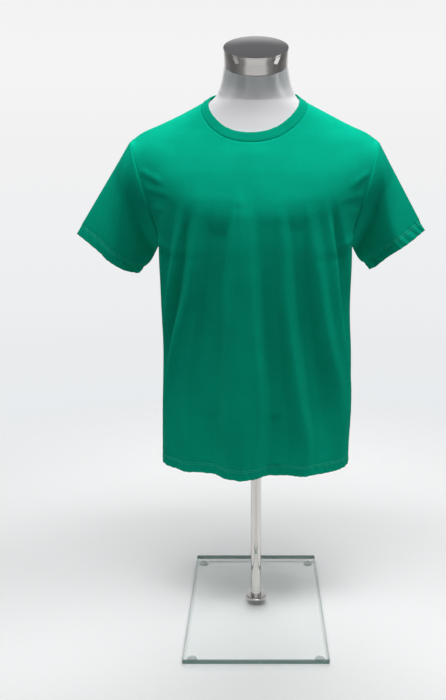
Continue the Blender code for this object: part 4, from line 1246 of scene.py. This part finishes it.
def ridged(place, apex, sharpness):
    """A slack tent's height from the lower (0) to the outer side (1), with its ridge at the apex."""
    near = np.maximum(place / apex, NEAR_ZERO)
    far = np.maximum((1 - place) / (1 - apex), NEAR_ZERO)
    return (near ** -sharpness + far ** -sharpness) ** (-1 / sharpness)


def sleeve_grid(side, count, rings):
    """Rings of a sleeve from the cuff up to the armhole, which go round by the front."""
    turn = 2 * math.pi * np.arange(count) / count
    face = np.where(turn < math.pi, -1, 1)
    place = (1 - np.cos(turn)) / 2
    share = np.where(turn < math.pi, turn / math.pi, 2 - turn / math.pi)
    armhole = np.array([armhole_point(side, f, s) for f, s in zip(face, share)])
    form = SLEEVES[side]
    lower, outer = np.array(form["lower"]), np.array(form["outer"])
    edge = lower + (outer - lower) * place[:, None]
    rise = np.array([along(form["edge_rise"], at, "rise") for at in place]) / 1000
    edge[:, 2] += np.where(face < 0, rise, 0.0)
    round_bow = np.abs(np.sin(turn))
    armhole_depth = np.where(face < 0, FRONT_ARMHOLE_DEPTH, BACK_ARMHOLE_DEPTH)
    cuff_depth = np.where(face < 0, form["front"], form["back"])
    level_y = armhole[:, 1] - face * armhole_depth * round_bow
    grid = []
    for down in rings:
        line = armhole + (edge - armhole) * down
        front = ridged(place, along(form["front_ridge"], down, "place"), FRONT_RIDGE_SHARPNESS)
        back = ridged(place, along(form["back_ridge"], down, "place"), BACK_RIDGE_SHARPNESS)
        ridge = cuff_depth * np.where(face < 0, front, back)
        depth = mix(armhole_depth * round_bow, ridge, ease(down / RIDGE_GROWTH))
        line[:, 1] = mix(level_y, edge[:, 1], down) + face * depth
        slack = math.sin(math.pi * down) * np.maximum(np.cos(turn), 0.0)
        line[:, 2] -= SLEEVE_SAG * slack ** SAG_EXPONENT
        grid.append(line)
    return clear_of_form(np.array(grid))


SLEEVE_LENGTH = 0.19
SLEEVE_COLUMNS = 132
near_cuff = 1 - HEM_STEPS / SLEEVE_LENGTH
near_armhole = SEAM_STEPS / SLEEVE_LENGTH
between = np.linspace(near_cuff[-1], near_armhole[-1], round(SLEEVE_LENGTH / BODY_STEP))
SLEEVE_RINGS = np.concatenate((near_cuff[:-1], between, near_armhole[-2::-1]))

for side in ("left", "right"):
    sheet = sleeve_grid(side, SLEEVE_COLUMNS, SLEEVE_RINGS)
    if side == "left":
        sheet = sheet[:, ::-1]
    normals = grid_normals(sheet, closed=True)
    up = climb_distances(sheet)
    lift = seam_lift(up[-1:] - up, SEAM_FOOT)[:, :, None]
    stitches = "shirt_cuff_" + side + "_stitches"
    sleeve = hemmed_shell("shirt_sleeve_" + side, stitches, sheet, normals, lift, closed=True)
    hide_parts(side + "_sleeve")
    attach(sleeve, "root")

# Neck rib ----------------------------------------------------
# A folded band of one-by-one rib, sewn on doubled: its free edge is the fold.

RIB_FRONT = np.array((-0.008, -0.0600, 0.9800))
RIB_BACK = np.array((0.000, 0.0640, 1.0600))
RIB_FULLNESS = 2.2
RIB_COLUMNS = 1040
RIB_COUNT = 208
RIB_RELIEF = 0.00014
RIB_GROWTH = 0.1
EDGE_STEPS = 5
EDGE_MIDDLE = 0.0009
EDGE_ROUND = 0.0008
RIB_INNER = 0.0001

# Rib knit: the same yarn, whose ribs stand across the band. They are drawn at 2.5 mm, a little coarser
# than real.
cotton_rib = knit("cotton_rib", "02A887", "029A7B", (1 / 0.0008, 1 / 0.0030, 1.0))


def rib_edge(by_front):
    """The rib's free edge, finely sampled from left to right."""
    share = np.linspace(0.0, 1.0, ROW_SAMPLES)
    left = np.array((CORNERS["left"]["rib"][0], RIDGE_Y, CORNERS["left"]["rib"][1]))
    right = np.array((CORNERS["right"]["rib"][0], RIDGE_Y, CORNERS["right"]["rib"][1]))
    across = -np.cos(row_turn(share))
    bow = np.maximum(1 - np.abs(across) ** RIB_FULLNESS, 0.0) ** (1 / RIB_FULLNESS)
    middle = RIB_FRONT if by_front else RIB_BACK
    line = left + (right - left) * ((across + 1) / 2)[:, None]
    return line + (middle - (left + right) / 2) * bow[:, None]


def neck_loop(front_line, back_line):
    """A loop round the neck through a front and a back line that both run from left to right."""
    half = np.arange(RIB_COLUMNS // 2) / (RIB_COLUMNS // 2)
    return np.concatenate((spaced(front_line, half), spaced(back_line[::-1], half)))


seam_loop = neck_loop(row_line(FRONT_ROWS, -1, 3.0), row_line(BACK_ROWS, 1, 3.0))
edge_loop = neck_loop(rib_edge(True), rib_edge(False))
shares = np.array((0.0, 0.04, 0.10, 0.2, 0.35, 0.5, 0.65, 0.8, 0.9, 1.0))
rib_sheet = np.array([seam_loop + (edge_loop - seam_loop) * share for share in shares])
rib_sheet = clear_of_form(rib_sheet)
rib_normals = grid_normals(rib_sheet, closed=True)
rib_rise = np.array((0.0010, 0.0013, 0.0018, 0.0020, 0.0020, 0.0020, 0.0020, 0.0020, 0.0019, 0.0017))
ribs = RIB_RELIEF * np.cos(2 * math.pi * RIB_COUNT * np.arange(RIB_COLUMNS) / RIB_COLUMNS)
rib_rise = rib_rise[:, None] + ribs[None, :] * ease(shares / RIB_GROWTH)[:, None]
outer = rib_sheet + rib_normals * rib_rise[:, :, None]
up = rib_sheet[-1] - rib_sheet[-2]
up = up / np.linalg.norm(up, axis=1, keepdims=True)
turned_edge = []
for step in range(1, EDGE_STEPS + 1):
    turn = math.pi * step / (EDGE_STEPS + 1)
    centre = rib_sheet[-1] + rib_normals[-1] * EDGE_MIDDLE
    out, ahead = EDGE_ROUND * math.cos(turn), EDGE_ROUND * math.sin(turn)
    turned_edge.append(centre + rib_normals[-1] * out + up * ahead)
outer = np.concatenate((outer, np.array(turned_edge)))
inner_sheet = rib_sheet + rib_normals * RIB_INNER
inner = np.concatenate((inner_sheet, np.repeat(inner_sheet[-1:], EDGE_STEPS, axis=0)))
rib = build_shell("shirt_neck_rib", outer, inner, cotton_rib, closed=True)
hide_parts("neck_rib")
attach(rib, "root")
